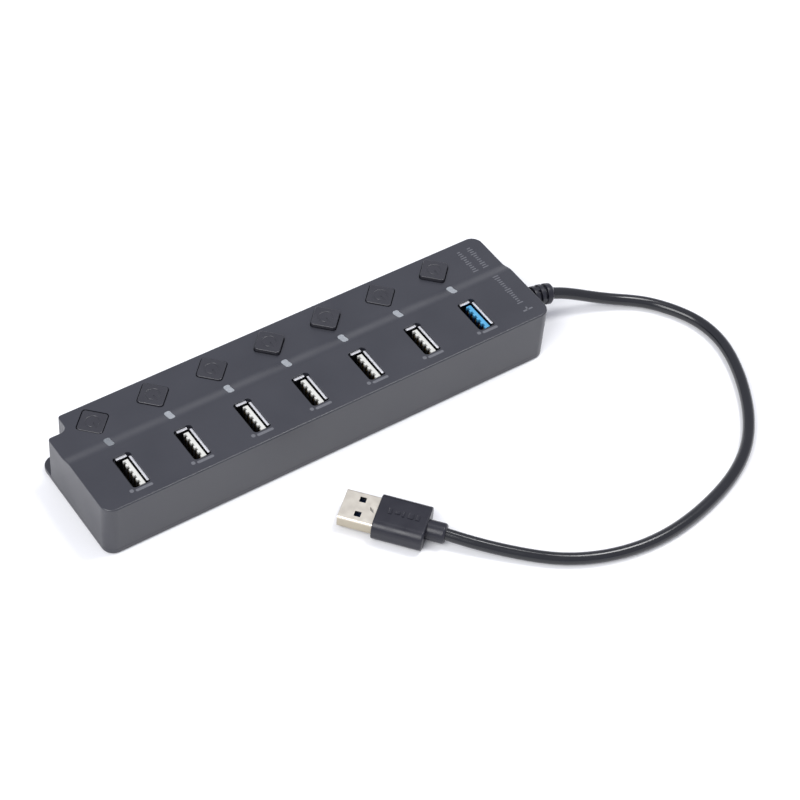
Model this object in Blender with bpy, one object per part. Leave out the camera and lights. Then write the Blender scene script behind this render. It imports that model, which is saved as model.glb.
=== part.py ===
"""Seven-port USB hub with a power button beside each port and a fixed cable that ends in a USB-A plug.

The hub lies on its rubber feet with its long side along X. The ports open upwards in a row near the
front (-Y) side, the buttons stand in a row near the rear (+Y) side, and the cable leaves the +X end.
The origin is on the floor, under the middle of the housing.
"""

import math

import bmesh
import bpy
import numpy as np
from mathutils import Vector

MM = 0.001
GAP = 0.3 * MM

# Housing
BODY_LENGTH = 166.6 * MM
BODY_WIDTH = 43.3 * MM
CORNER_RADIUS = 4.0 * MM
WALL = 1.5 * MM
FRONT_TOP = 21.1 * MM
REAR_TOP = 19.65 * MM
RAMP_FRONT_Y = 0.4 * MM
RAMP_REAR_Y = 6.4 * MM
RAMP_STEPS = 8
NOTCH_X = -76.4 * MM
NOTCH_Y = 15.1 * MM
NOTCH_FILLET = 2.6 * MM
NOTCH_EDGE_RADIUS = 1.0 * MM
COVER_BOTTOM = 0.4 * MM
COVER_TOP = 2.4 * MM
RIM_TOP = 4.4 * MM
RIM_THICKNESS = 1.2 * MM
ARC_STEPS = 6
SMALL_ARC_STEPS = 3
HIDDEN_ARC_STEPS = 1

# The row of port units: one port, one light and one button share each X
PORT_COUNT = 7
PORT_PITCH = 21.5 * MM
FIRST_PORT_X = -68.2 * MM
PORT_Y = -10.1 * MM
LIGHT_Y = 3.6 * MM
BUTTON_Y = 14.05 * MM

# Receptacles, standing upright on the board
SHELL_SIZE = (5.72 * MM, 13.1 * MM)
SHELL_WALL = 0.3 * MM
SHELL_RADIUS = 0.9 * MM
SHELL_TOP = 20.95 * MM
INSULATOR_WIDTH = 11.1 * MM
INSULATOR_BASE_TOP = 9.8 * MM
TONGUE_TOP = 19.6 * MM
TONGUE_THICKNESS = 1.84 * MM
TONGUE_NEAR_X = 0.02 * MM

# Lights
LIGHT_SIZE = (2.25 * MM, 4.1 * MM)
LIGHT_RADIUS = 0.6 * MM
LIGHT_BOTTOM = 8.6 * MM
LIGHT_RECESS = 0.05 * MM

# Push buttons and the latching switches under them
BUTTON_SIDE = 8.3 * MM
BUTTON_RADIUS = 1.0 * MM
BUTTON_TRAVEL = 1.3 * MM
RAISED_BUTTONS = (4, 5, 7)
LOOSELY_LATCHED_BUTTONS = (2, 3, 6)
LATCH_PLAY = 0.4 * MM
FLANGE_SIDE = 9.0 * MM
FLANGE_DEPTH = 3.6 * MM
FLANGE_THICKNESS = 1.0 * MM
STEM_SIDE = 3.0 * MM
STEM_LENGTH = 4.0 * MM
SWITCH_SIDE = 8.4 * MM
SWITCH_TOP = 13.2 * MM
SWITCH_POCKET_DEPTH = 3.6 * MM
OVERLAP = 0.2 * MM

# Circuit board and what stands on it
BOARD_BOTTOM = 5.2 * MM
BOARD_TOP = 6.8 * MM
BOARD_LEFT_X = -74.1 * MM
BOARD_RIGHT_X = 73.5 * MM
BOARD_HALF_WIDTH = 19.0 * MM
CHIP_SIDE = 9.0 * MM
CHIP_HEIGHT = 0.9 * MM
CONTROLLER_COLUMNS = (1.5, 4.5)
CRYSTAL_COLUMN = 2.5
CRYSTAL_SIZE = (4.6 * MM, 11.0 * MM)
CRYSTAL_HEIGHT = 3.6 * MM
CAPACITOR_COLUMN = 5.5
CAPACITOR_RADIUS = 3.15 * MM
CAPACITOR_HEIGHT = 7.0 * MM
CONNECTOR_X = (65.5 * MM, 71.7 * MM)
CONNECTOR_HALF_WIDTH = 5.0 * MM
CONNECTOR_TOP = 13.6 * MM

# Fasteners, standoffs and feet
BOSS_PLACES = ((-77.4, -16.0), (-77.4, 8.0), (77.4, -15.6), (77.4, 15.6))
BOSS_RADIUS = 3.1 * MM
BOSS_BOTTOM = 5.3 * MM
POST_RADIUS = 3.5 * MM
POST_TOP = 5.0 * MM
SCREW_HEAD_RADIUS = 2.4 * MM
SCREW_SHANK_RADIUS = 1.3 * MM
SCREW_HEAD_BOTTOM = 1.3 * MM
SCREW_HEAD_TOP = 2.9 * MM
SCREW_TIP = 12.0 * MM
STANDOFF_PLACES = ((-57.4, -14.0), (-57.4, 2.0), (50.0, -14.0), (50.0, 2.0))
STANDOFF_RADIUS = 2.2 * MM
FOOT_PLACES = ((-64.0, -14.0), (-64.0, 14.0), (64.0, -14.0), (64.0, 14.0))
FOOT_RADIUS = 4.0 * MM
FOOT_TOP = 0.9 * MM
ROUND_SEGMENTS = 20

# Cable, strain relief and plug
CABLE_RADIUS = 2.0 * MM
EXIT_Y = -5.3 * MM
EXIT_Z = 10.7 * MM
CABLE_ROUTE = (
    (83.3, -5.3, 10.7), (90.0, -5.5, 10.5), (96.2, -6.6, 9.6), (102.8, -8.6, 7.7), (109.5, -11.3, 5.3),
    (117.0, -14.9, 3.3), (125.6, -20.4, 2.3), (132.4, -28.6, 2.1), (136.6, -38.0, 2.1),
    (137.3, -48.6, 2.1), (134.5, -59.6, 2.1), (129.4, -70.6, 2.1), (122.4, -81.2, 2.1),
    (113.7, -90.0, 2.1), (102.9, -96.6, 2.1), (91.0, -101.0, 2.1), (78.8, -103.8, 2.1),
    (66.5, -104.8, 2.1), (54.5, -103.5, 2.1), (43.2, -99.9, 2.1), (34.2, -94.9, 2.1),
    (26.9, -88.9, 2.2), (20.1, -82.4, 2.6), (13.8, -75.9, 3.3), (8.65, -70.0, 4.0),
)
CABLE_STEP = 8.0 * MM
CABLE_END_CLEARANCE = 0.35 * MM
RELIEF_LENGTH = 13.7 * MM
RELIEF_FLANGE_RADIUS = 4.6 * MM
RELIEF_NECK_RADIUS = 2.9 * MM
RELIEF_RING_RADIUS = 3.7 * MM
RELIEF_GROOVE_RADIUS = 2.9 * MM
RELIEF_RING_PITCH = 2.2 * MM
RELIEF_GROOVE_WIDTH = 0.8 * MM
RELIEF_RINGS = 6
PLUG_PLACE = (8.65 * MM, -70.0 * MM, 4.0 * MM)
PLUG_TURN = math.radians(129.87)
NECK_RADIUS = 3.3 * MM
NECK_LENGTH = 6.0 * MM
MOULD_LENGTH = 16.4 * MM
MOULD_SIZE = (15.2 * MM, 8.0 * MM)
MOULD_RADIUS = 3.2 * MM
PLUG_SHELL_SIZE = (12.0 * MM, 4.5 * MM)
PLUG_SHELL_OUT = 11.3 * MM
PLUG_SHELL_IN = 3.0 * MM
PLUG_SHELL_RADIUS = 0.6 * MM
PLUG_HOLE_SIDE = 2.1 * MM
PLUG_HOLE_FROM_TIP = 5.8 * MM
PLUG_HOLE_HALF_SPACING = 3.0 * MM
PLUG_TONGUE_THICKNESS = 1.6 * MM
PLUG_TONGUE_INSET = 0.5 * MM
PLUG_BLOCK_LENGTH = 4.5 * MM


def clear_scene():
    for item in list(bpy.data.objects):
        bpy.data.objects.remove(item, do_unlink=True)


def material(name, colour, roughness, metallic=0.0):
    made = bpy.data.materials.new(name)
    made.use_nodes = True
    shader = made.node_tree.nodes["Principled BSDF"]
    shader.inputs["Base Color"].default_value = (*colour, 1.0)
    shader.inputs["Roughness"].default_value = roughness
    shader.inputs["Metallic"].default_value = metallic
    return made


def filleted(corners, steps=ARC_STEPS):
    """Closed outline through corners (x, y, radius), each rounded by an arc of that radius."""
    outline = []
    for index, (x, y, radius) in enumerate(corners):
        corner = Vector((x, y))
        before = (Vector(corners[index - 1][:2]) - corner).normalized()
        after = (Vector(corners[(index + 1) % len(corners)][:2]) - corner).normalized()
        half_angle = before.angle(after) / 2
        reach = radius / math.tan(half_angle)
        centre = corner + (before + after).normalized() * (radius / math.sin(half_angle))
        start = corner + before * reach - centre
        end = corner + after * reach - centre
        sweep = start.angle_signed(end)
        for step in range(steps + 1):
            turn = -sweep * step / steps
            spun = Vector((
                start.x * math.cos(turn) - start.y * math.sin(turn),
                start.x * math.sin(turn) + start.y * math.cos(turn),
            ))
            outline.append(tuple(centre + spun))
    return outline


def rounded_rectangle(width, height, radius, centre=(0.0, 0.0), steps=SMALL_ARC_STEPS):
    x, y = centre
    right, top = width / 2, height / 2
    return filleted([
        (x - right, y - top, radius),
        (x + right, y - top, radius),
        (x + right, y + top, radius),
        (x - right, y + top, radius),
    ], steps)


def circle(radius, centre=(0.0, 0.0), segments=ROUND_SEGMENTS):
    turns = [2 * math.pi * step / segments for step in range(segments)]
    return [(centre[0] + radius * math.cos(turn), centre[1] + radius * math.sin(turn)) for turn in turns]


def turned_45(outline):
    half = math.sqrt(0.5)
    return [((x - y) * half, (x + y) * half) for x, y in outline]


def moved(outline, x, y):
    return [(u + x, v + y) for u, v in outline]


AXIS_ORDER = {
    "X": lambda u, v, w: (w, u, v),
    "Y": lambda u, v, w: (v, w, u),
    "Z": lambda u, v, w: (u, v, w),
}


def add_prism(mesh, outline, low, high, axis="Z"):
    """Add a closed prism to a bmesh: the outline lies across the axis, from low to high along it."""
    place = AXIS_ORDER[axis]
    bottom = [mesh.verts.new(place(u, v, low)) for u, v in outline]
    top = [mesh.verts.new(place(u, v, high)) for u, v in outline]
    mesh.faces.new(bottom[::-1])
    mesh.faces.new(top)
    count = len(outline)
    for index in range(count):
        after = (index + 1) % count
        mesh.faces.new((bottom[index], bottom[after], top[after], top[index]))


def finished(name, mesh, look=None):
    """Turn a bmesh into a scene object."""
    bmesh.ops.recalc_face_normals(mesh, faces=mesh.faces)
    data = bpy.data.meshes.new(name)
    mesh.to_mesh(data)
    mesh.free()
    made = bpy.data.objects.new(name, data)
    bpy.context.scene.collection.objects.link(made)
    if look is not None:
        data.materials.append(look)
    return made


def prisms(name, shapes, look=None, axis="Z"):
    """One object holding a closed prism for each (outline, low, high)."""
    mesh = bmesh.new()
    for outline, low, high in shapes:
        add_prism(mesh, outline, low, high, axis)
    return finished(name, mesh, look)


def tube(name, outer, inner, low, high, look, axis="Z"):
    """A pipe open at both ends, between two outlines with the same number of points."""
    place = AXIS_ORDER[axis]
    mesh = bmesh.new()
    rings = [
        [mesh.verts.new(place(u, v, height)) for u, v in outline]
        for outline, height in ((outer, low), (outer, high), (inner, high), (inner, low))
    ]
    count = len(outer)
    for ring, following in zip(rings, rings[1:] + rings[:1]):
        for index in range(count):
            after = (index + 1) % count
            mesh.faces.new((ring[index], ring[after], following[after], following[index]))
    return finished(name, mesh, look)


def turned(name, profile, look, segments=ROUND_SEGMENTS):
    """A solid of revolution about Z, from (radius, height) points listed upwards."""
    centres = [Vector((0, 0, height)) for _, height in profile]
    mesh = bmesh.new()
    rings = [
        [mesh.verts.new((*point, centre.z)) for point in circle(radius, segments=segments)]
        for centre, (radius, _) in zip(centres, profile)
    ]
    mesh.faces.new(rings[0][::-1])
    mesh.faces.new(rings[-1])
    for ring, following in zip(rings, rings[1:]):
        for side in range(segments):
            after = (side + 1) % segments
            mesh.faces.new((ring[side], ring[after], following[after], following[side]))
    made = finished(name, mesh, look)
    shade_round(made)
    return made


def shade_round(made, angle=math.radians(35)):
    made.data.shade_smooth()
    made.data.set_sharp_from_angle(angle=angle)


def combine(target, tool, operation):
    """Cut, join or intersect with a hidden tool object, and keep the tool out of the model."""
    step = target.modifiers.new(operation.lower() + "_" + tool.name, "BOOLEAN")
    step.operation = operation
    step.solver = "EXACT"
    step.object = tool
    tool.hide_render = True
    tool.display_type = "WIRE"


def shared_mesh(made):
    """The object's mesh with its modifiers worked in, for copies to share; the object goes away."""
    graph = bpy.context.evaluated_depsgraph_get()
    mesh = bpy.data.meshes.new_from_object(made.evaluated_get(graph))
    bpy.data.objects.remove(made, do_unlink=True)
    return mesh


def copy_of(mesh, name, place):
    made = bpy.data.objects.new(name, mesh)
    bpy.context.scene.collection.objects.link(made)
    made.location = place
    return made


def column_x(number):
    """X of a port unit; number counts from 0 and may be between two units."""
    return FIRST_PORT_X + PORT_PITCH * number


def smooth_curve(points, step):
    """Points along a natural cubic spline through the given points, about one step apart."""
    knots = np.array(points, dtype=float)
    lengths = np.linalg.norm(np.diff(knots, axis=0), axis=1)
    at = np.concatenate([[0.0], np.cumsum(lengths)])
    count = len(knots)
    system = np.eye(count)
    bend = np.zeros_like(knots)
    for index in range(1, count - 1):
        before, after = lengths[index - 1], lengths[index]
        system[index, index - 1:index + 2] = (before, 2 * (before + after), after)
        rise = (knots[index + 1] - knots[index]) / after
        fall = (knots[index] - knots[index - 1]) / before
        bend[index] = 6 * (rise - fall)
    curvature = np.linalg.solve(system, bend)
    made = []
    for where in np.linspace(0.0, at[-1], int(round(at[-1] / step)) + 1):
        span = min(int(np.searchsorted(at, where, side="right")) - 1, count - 2)
        length = lengths[span]
        left = (at[span + 1] - where) / length
        right = 1.0 - left
        point = left * knots[span] + right * knots[span + 1]
        point += ((left ** 3 - left) * curvature[span] + (right ** 3 - right) * curvature[span + 1]) \
            * length ** 2 / 6
        made.append(Vector(point))
    return made


def top_profile(lowering):
    """The housing's section across Y: level front strip, soft ramp, lower rear strip."""
    far = BODY_WIDTH
    points = [(far, 0.0), (far, REAR_TOP - lowering)]
    for step in range(RAMP_STEPS, -1, -1):
        share = step / RAMP_STEPS
        y = RAMP_FRONT_Y + (RAMP_REAR_Y - RAMP_FRONT_Y) * share
        drop = share * share * (3 - 2 * share)
        points.append((y, FRONT_TOP - lowering + (REAR_TOP - FRONT_TOP) * drop))
    points += [(-far, FRONT_TOP - lowering), (-far, 0.0)]
    return points


def housing_section(name, lowering):
    """A long bar with the housing's top profile, lowered by the given amount."""
    half = BODY_LENGTH
    return prisms(name, [(top_profile(lowering), -half, half)], axis="X")


def housing_outline(inset, notched=True):
    """The housing seen from above, moved inwards by inset."""
    right = BODY_LENGTH / 2 - inset
    rear = BODY_WIDTH / 2 - inset
    radius = CORNER_RADIUS - inset
    corners = [(-right, -rear, radius), (right, -rear, radius), (right, rear, radius)]
    if not notched:
        return filleted(corners + [(-right, rear, radius)])
    edge = max(NOTCH_EDGE_RADIUS - inset, GAP)
    notch_x = NOTCH_X + inset
    notch_y = NOTCH_Y - inset
    return filleted(corners + [
        (notch_x, rear, edge),
        (notch_x, notch_y, NOTCH_FILLET + inset),
        (-right, notch_y, edge),
    ])


def upper_openings():
    """Cutter for the ports, lights and buttons."""
    port = rounded_rectangle(SHELL_SIZE[0] + 2 * GAP, SHELL_SIZE[1] + 2 * GAP, SHELL_RADIUS + GAP)
    light = rounded_rectangle(LIGHT_SIZE[0] + 2 * GAP, LIGHT_SIZE[1] + 2 * GAP, LIGHT_RADIUS + GAP)
    side = BUTTON_SIDE + 2 * GAP
    button = turned_45(rounded_rectangle(side, side, BUTTON_RADIUS + GAP))
    low, high = SWITCH_TOP, FRONT_TOP + CORNER_RADIUS
    shapes = []
    for number in range(PORT_COUNT):
        x = column_x(number)
        shapes.append((moved(port, x, PORT_Y), low, high))
        shapes.append((moved(light, x, LIGHT_Y), low, high))
        shapes.append((moved(button, x, BUTTON_Y), low, high))
    return prisms("upper_openings", shapes)


def top_shell(look):
    top = BODY_WIDTH
    shell = prisms("top_shell", [(housing_outline(0.0), COVER_TOP + GAP, top)], look)
    combine(shell, housing_section("outer_section", 0.0), "INTERSECT")
    cavity = prisms("cavity", [(housing_outline(WALL), -WALL, top)])
    combine(cavity, housing_section("inner_section", WALL), "INTERSECT")
    combine(shell, cavity, "DIFFERENCE")
    bosses = [
        (circle(BOSS_RADIUS, (x * MM, y * MM)), BOSS_BOTTOM, (FRONT_TOP if y < 0 else REAR_TOP) - WALL / 2)
        for x, y in BOSS_PLACES
    ]
    combine(shell, prisms("bosses", bosses), "UNION")
    hole_radius = SCREW_SHANK_RADIUS + GAP
    holes = [
        (circle(hole_radius, (x * MM, y * MM)), BOSS_BOTTOM - GAP, SCREW_TIP + GAP)
        for x, y in BOSS_PLACES
    ]
    combine(shell, prisms("boss_holes", holes), "DIFFERENCE")
    combine(shell, upper_openings(), "DIFFERENCE")
    exit_hole = circle(RELIEF_NECK_RADIUS + GAP, (EXIT_Y, EXIT_Z))
    right = BODY_LENGTH / 2
    cutter = prisms("exit_hole", [(exit_hole, right - 2 * WALL, right + WALL)], axis="X")
    combine(shell, cutter, "DIFFERENCE")
    return shell


def bottom_cover(look):
    cover = prisms("bottom_cover", [(housing_outline(0.0, notched=False), COVER_BOTTOM, COVER_TOP)], look)
    rim_outer = WALL + GAP
    rim = tube(
        "rim",
        housing_outline(rim_outer),
        housing_outline(rim_outer + RIM_THICKNESS),
        COVER_TOP - OVERLAP,
        RIM_TOP,
        look,
    )
    combine(cover, rim, "UNION")
    base = COVER_TOP - OVERLAP
    posts = [(circle(POST_RADIUS, (x * MM, y * MM)), base, POST_TOP) for x, y in BOSS_PLACES]
    standoff_top = BOARD_BOTTOM - GAP
    posts += [
        (circle(STANDOFF_RADIUS, (x * MM, y * MM)), base, standoff_top) for x, y in STANDOFF_PLACES
    ]
    combine(cover, prisms("posts", posts), "UNION")
    under = -WALL
    head_room = SCREW_HEAD_TOP + GAP
    recesses = [
        (circle(SCREW_HEAD_RADIUS + GAP, (x * MM, y * MM)), under, head_room) for x, y in BOSS_PLACES
    ]
    recesses += [
        (circle(FOOT_RADIUS + GAP, (x * MM, y * MM)), under, FOOT_TOP + GAP) for x, y in FOOT_PLACES
    ]
    combine(cover, prisms("recesses", recesses), "DIFFERENCE")
    shank_holes = [
        (circle(SCREW_SHANK_RADIUS + GAP, (x * MM, y * MM)), under, POST_TOP + GAP)
        for x, y in BOSS_PLACES
    ]
    combine(cover, prisms("shank_holes", shank_holes), "DIFFERENCE")
    return cover


def circuit_board(look):
    outline = filleted([
        (BOARD_LEFT_X, -BOARD_HALF_WIDTH + 2 * NOTCH_FILLET, NOTCH_EDGE_RADIUS),
        (BOARD_LEFT_X + 2 * NOTCH_FILLET, -BOARD_HALF_WIDTH, NOTCH_EDGE_RADIUS),
        (BOARD_RIGHT_X, -BOARD_HALF_WIDTH, NOTCH_EDGE_RADIUS),
        (BOARD_RIGHT_X, BOARD_HALF_WIDTH, NOTCH_EDGE_RADIUS),
        (BOARD_LEFT_X, BOARD_HALF_WIDTH, NOTCH_EDGE_RADIUS),
    ])
    return prisms("circuit_board", [(outline, BOARD_BOTTOM, BOARD_TOP)], look)


def port_mesh(look):
    inner = (SHELL_SIZE[0] - 2 * SHELL_WALL, SHELL_SIZE[1] - 2 * SHELL_WALL)
    shell = tube(
        "port_shell",
        rounded_rectangle(*SHELL_SIZE, SHELL_RADIUS),
        rounded_rectangle(*inner, SHELL_RADIUS - SHELL_WALL),
        BOARD_TOP + GAP,
        SHELL_TOP,
        look,
    )
    return shared_mesh(shell)


def insulator_mesh(look):
    """Moulded block at the bottom of a port, with the tongue standing on it."""
    half = SHELL_SIZE[0] / 2 - SHELL_WALL - GAP
    low = BOARD_TOP + 2 * GAP
    tongue_far = TONGUE_NEAR_X + TONGUE_THICKNESS
    section = [
        (low, -half),
        (low, half),
        (INSULATOR_BASE_TOP, half),
        (INSULATOR_BASE_TOP, tongue_far),
        (TONGUE_TOP, tongue_far),
        (TONGUE_TOP, TONGUE_NEAR_X),
        (INSULATOR_BASE_TOP, TONGUE_NEAR_X),
        (INSULATOR_BASE_TOP, -half),
    ]
    reach = INSULATOR_WIDTH / 2
    return shared_mesh(prisms("insulator", [(section, -reach, reach)], look, axis="Y"))


def light_pipe_mesh(look):
    outline = moved(rounded_rectangle(*LIGHT_SIZE, LIGHT_RADIUS), 0.0, LIGHT_Y)
    pipe = prisms("light_pipe", [(outline, LIGHT_BOTTOM, BODY_WIDTH)], look)
    section = housing_section("light_section", LIGHT_RECESS)
    combine(pipe, section, "INTERSECT")
    mesh = shared_mesh(pipe)
    bpy.data.objects.remove(section, do_unlink=True)
    return mesh


def button_mesh(look):
    """Diamond cap, square retaining flange and stem; the origin is at the middle of the cap's face."""
    flange_top = -FLANGE_DEPTH
    flange_bottom = flange_top - FLANGE_THICKNESS
    cap_outline = turned_45(rounded_rectangle(BUTTON_SIDE, BUTTON_SIDE, BUTTON_RADIUS))
    flange_outline = rounded_rectangle(FLANGE_SIDE, FLANGE_SIDE, BUTTON_RADIUS, steps=HIDDEN_ARC_STEPS)
    stem_outline = rounded_rectangle(STEM_SIDE, STEM_SIDE, GAP, steps=HIDDEN_ARC_STEPS)
    cap = prisms("button", [(cap_outline, flange_top - OVERLAP, 0.0)], look)
    flange = prisms("flange", [(flange_outline, flange_bottom, flange_top)])
    stem = prisms("stem", [(stem_outline, flange_bottom - STEM_LENGTH, flange_bottom + OVERLAP)])
    combine(cap, flange, "UNION")
    combine(cap, stem, "UNION")
    mesh = shared_mesh(cap)
    bpy.data.objects.remove(flange, do_unlink=True)
    bpy.data.objects.remove(stem, do_unlink=True)
    return mesh


def switch_mesh(look):
    outline = rounded_rectangle(SWITCH_SIDE, SWITCH_SIDE, GAP, steps=HIDDEN_ARC_STEPS)
    body = prisms("switch", [(outline, BOARD_TOP + GAP, SWITCH_TOP)], look)
    pocket_side = STEM_SIDE + 2 * GAP
    pocket_outline = rounded_rectangle(pocket_side, pocket_side, 2 * GAP, steps=HIDDEN_ARC_STEPS)
    pocket = prisms("pocket", [(pocket_outline, SWITCH_TOP - SWITCH_POCKET_DEPTH, SWITCH_TOP + GAP)])
    combine(body, pocket, "DIFFERENCE")
    mesh = shared_mesh(body)
    bpy.data.objects.remove(pocket, do_unlink=True)
    return mesh


def button_lift(number):
    if number in RAISED_BUTTONS:
        return BUTTON_TRAVEL
    return LATCH_PLAY if number in LOOSELY_LATCHED_BUTTONS else 0.0


def port_units(metal, plastic, blue, clear, cap, switch):
    shell = port_mesh(metal)
    insulator = insulator_mesh(plastic)
    charging_insulator = insulator.copy()
    charging_insulator.materials[0] = blue
    light = light_pipe_mesh(clear)
    button = button_mesh(cap)
    latch = switch_mesh(switch)
    for number in range(PORT_COUNT):
        x = column_x(number)
        label = str(number + 1)
        last = number == PORT_COUNT - 1
        copy_of(shell, "port_shell_" + label, (x, PORT_Y, 0))
        copy_of(charging_insulator if last else insulator, "port_insulator_" + label, (x, PORT_Y, 0))
        copy_of(light, "light_pipe_" + label, (x, 0, 0))
        copy_of(latch, "switch_body_" + label, (x, BUTTON_Y, 0))
        copy_of(button, "button_" + label, (x, BUTTON_Y, REAR_TOP + button_lift(number + 1)))


def board_parts(chip, metal, sleeve, connector):
    low = BOARD_TOP + GAP
    for number, column in enumerate(CONTROLLER_COLUMNS):
        outline = rounded_rectangle(CHIP_SIDE, CHIP_SIDE, GAP, (column_x(column), 0.0), HIDDEN_ARC_STEPS)
        prisms("hub_controller_" + str(number + 1), [(outline, low, low + CHIP_HEIGHT)], chip)
    crystal = rounded_rectangle(*CRYSTAL_SIZE, CRYSTAL_SIZE[0] / 2 - GAP, (column_x(CRYSTAL_COLUMN), 0.0))
    prisms("crystal", [(crystal, low, low + CRYSTAL_HEIGHT)], metal)
    can = [(CAPACITOR_RADIUS, low), (CAPACITOR_RADIUS, low + CAPACITOR_HEIGHT)]
    capacitor = turned("capacitor", can, sleeve)
    capacitor.location = (column_x(CAPACITOR_COLUMN), 0.0, 0.0)
    near, far = CONNECTOR_X
    middle = ((near + far) / 2, EXIT_Y)
    block = rounded_rectangle(far - near, 2 * CONNECTOR_HALF_WIDTH, GAP, middle, HIDDEN_ARC_STEPS)
    prisms("cable_connector", [(block, low, CONNECTOR_TOP)], connector)


def screws_and_feet(steel, rubber):
    profile = [
        (SCREW_HEAD_RADIUS, SCREW_HEAD_BOTTOM),
        (SCREW_HEAD_RADIUS, SCREW_HEAD_TOP),
        (SCREW_SHANK_RADIUS, SCREW_HEAD_TOP),
        (SCREW_SHANK_RADIUS, SCREW_TIP),
    ]
    screw = shared_mesh(turned("screw", profile, steel))
    for number, (x, y) in enumerate(BOSS_PLACES):
        copy_of(screw, "screw_" + str(number + 1), (x * MM, y * MM, 0))
    foot = shared_mesh(turned("foot", [(FOOT_RADIUS, 0.0), (FOOT_RADIUS, FOOT_TOP)], rubber))
    for number, (x, y) in enumerate(FOOT_PLACES):
        copy_of(foot, "foot_" + str(number + 1), (x * MM, y * MM, 0))


def distances(points):
    """Distance of each point along the polyline through them."""
    steps = [0.0]
    for point, following in zip(points, points[1:]):
        steps.append(steps[-1] + (following - point).length)
    return steps


def point_at(points, steps, where):
    for index in range(len(points) - 1):
        if steps[index + 1] >= where:
            share = (where - steps[index]) / (steps[index + 1] - steps[index])
            return points[index].lerp(points[index + 1], share)
    return points[-1].copy()


def strain_relief(route, steps, look):
    """Flange inside the wall, neck through it, and rings outside that follow the cable's bend."""
    wall_outside = BODY_LENGTH / 2
    flange_outer = wall_outside - WALL - GAP
    flange_inner = flange_outer - WALL
    sections = [
        (flange_inner, RELIEF_FLANGE_RADIUS),
        (flange_outer, RELIEF_FLANGE_RADIUS),
        (flange_outer, RELIEF_NECK_RADIUS),
        (wall_outside + GAP, RELIEF_NECK_RADIUS),
        (wall_outside + GAP, RELIEF_RING_RADIUS),
    ]
    for ring in range(RELIEF_RINGS - 1):
        groove = wall_outside + RELIEF_RING_PITCH * (ring + 1)
        sections += [
            (groove - RELIEF_GROOVE_WIDTH / 2, RELIEF_RING_RADIUS),
            (groove - RELIEF_GROOVE_WIDTH / 2, RELIEF_GROOVE_RADIUS),
            (groove + RELIEF_GROOVE_WIDTH / 2, RELIEF_GROOVE_RADIUS),
            (groove + RELIEF_GROOVE_WIDTH / 2, RELIEF_RING_RADIUS),
        ]
    sections.append((wall_outside + RELIEF_LENGTH, RELIEF_RING_RADIUS))
    centres = []
    for x, _ in sections:
        if x <= wall_outside:
            centres.append(Vector((x, EXIT_Y, EXIT_Z)))
        else:
            centres.append(point_at(route, steps, x - wall_outside))
    return ringed_bar("strain_relief", route, steps, sections, centres, look)


def ringed_bar(name, route, steps, sections, centres, look):
    """A closed bar whose ring planes stay square to the route."""
    wall_outside = BODY_LENGTH / 2
    mesh = bmesh.new()
    rings = []
    for (x, radius), centre in zip(sections, centres):
        where = max(x - wall_outside, 0.0)
        along = point_at(route, steps, where + MM) - point_at(route, steps, where)
        if x <= wall_outside:
            along = Vector((1, 0, 0))
        across = along.cross(Vector((0, 0, 1))).normalized()
        upright = across.cross(along).normalized()
        rings.append([
            mesh.verts.new(
                centre
                + across * radius * math.cos(2 * math.pi * side / ROUND_SEGMENTS)
                + upright * radius * math.sin(2 * math.pi * side / ROUND_SEGMENTS)
            )
            for side in range(ROUND_SEGMENTS)
        ])
    mesh.faces.new(rings[0][::-1])
    mesh.faces.new(rings[-1])
    for ring, following in zip(rings, rings[1:]):
        for side in range(ROUND_SEGMENTS):
            after = (side + 1) % ROUND_SEGMENTS
            mesh.faces.new((ring[side], ring[after], following[after], following[side]))
    made = finished(name, mesh, look)
    shade_round(made)
    return made


def cable_tube(name, points, look):
    data = bpy.data.curves.new(name, "CURVE")
    data.dimensions = "3D"
    data.bevel_depth = CABLE_RADIUS
    data.bevel_resolution = 2
    data.use_fill_caps = True
    spline = data.splines.new("POLY")
    spline.points.add(len(points) - 1)
    for point, place in zip(spline.points, points):
        point.co = (*place, 1.0)
    data.materials.append(look)
    made = bpy.data.objects.new(name, data)
    bpy.context.scene.collection.objects.link(made)
    return made


def cable_and_relief(cable_look, relief_look):
    route = smooth_curve([tuple(value * MM for value in point) for point in CABLE_ROUTE], MM)
    steps = distances(route)
    strain_relief(route, steps, relief_look)
    start = RELIEF_LENGTH + CABLE_END_CLEARANCE
    end = steps[-1] - CABLE_END_CLEARANCE
    count = int(round((end - start) / CABLE_STEP)) + 1
    places = [point_at(route, steps, where) for where in np.linspace(start, end, count)]
    cable_tube("cable", places, cable_look)
    inner_start = BODY_LENGTH / 2 - 2 * (WALL + GAP)
    lead = [Vector((inner_start - GAP / 2, EXIT_Y, EXIT_Z)), Vector((CONNECTOR_X[1] + GAP, EXIT_Y, EXIT_Z))]
    cable_tube("inner_lead", lead, cable_look)


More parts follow.
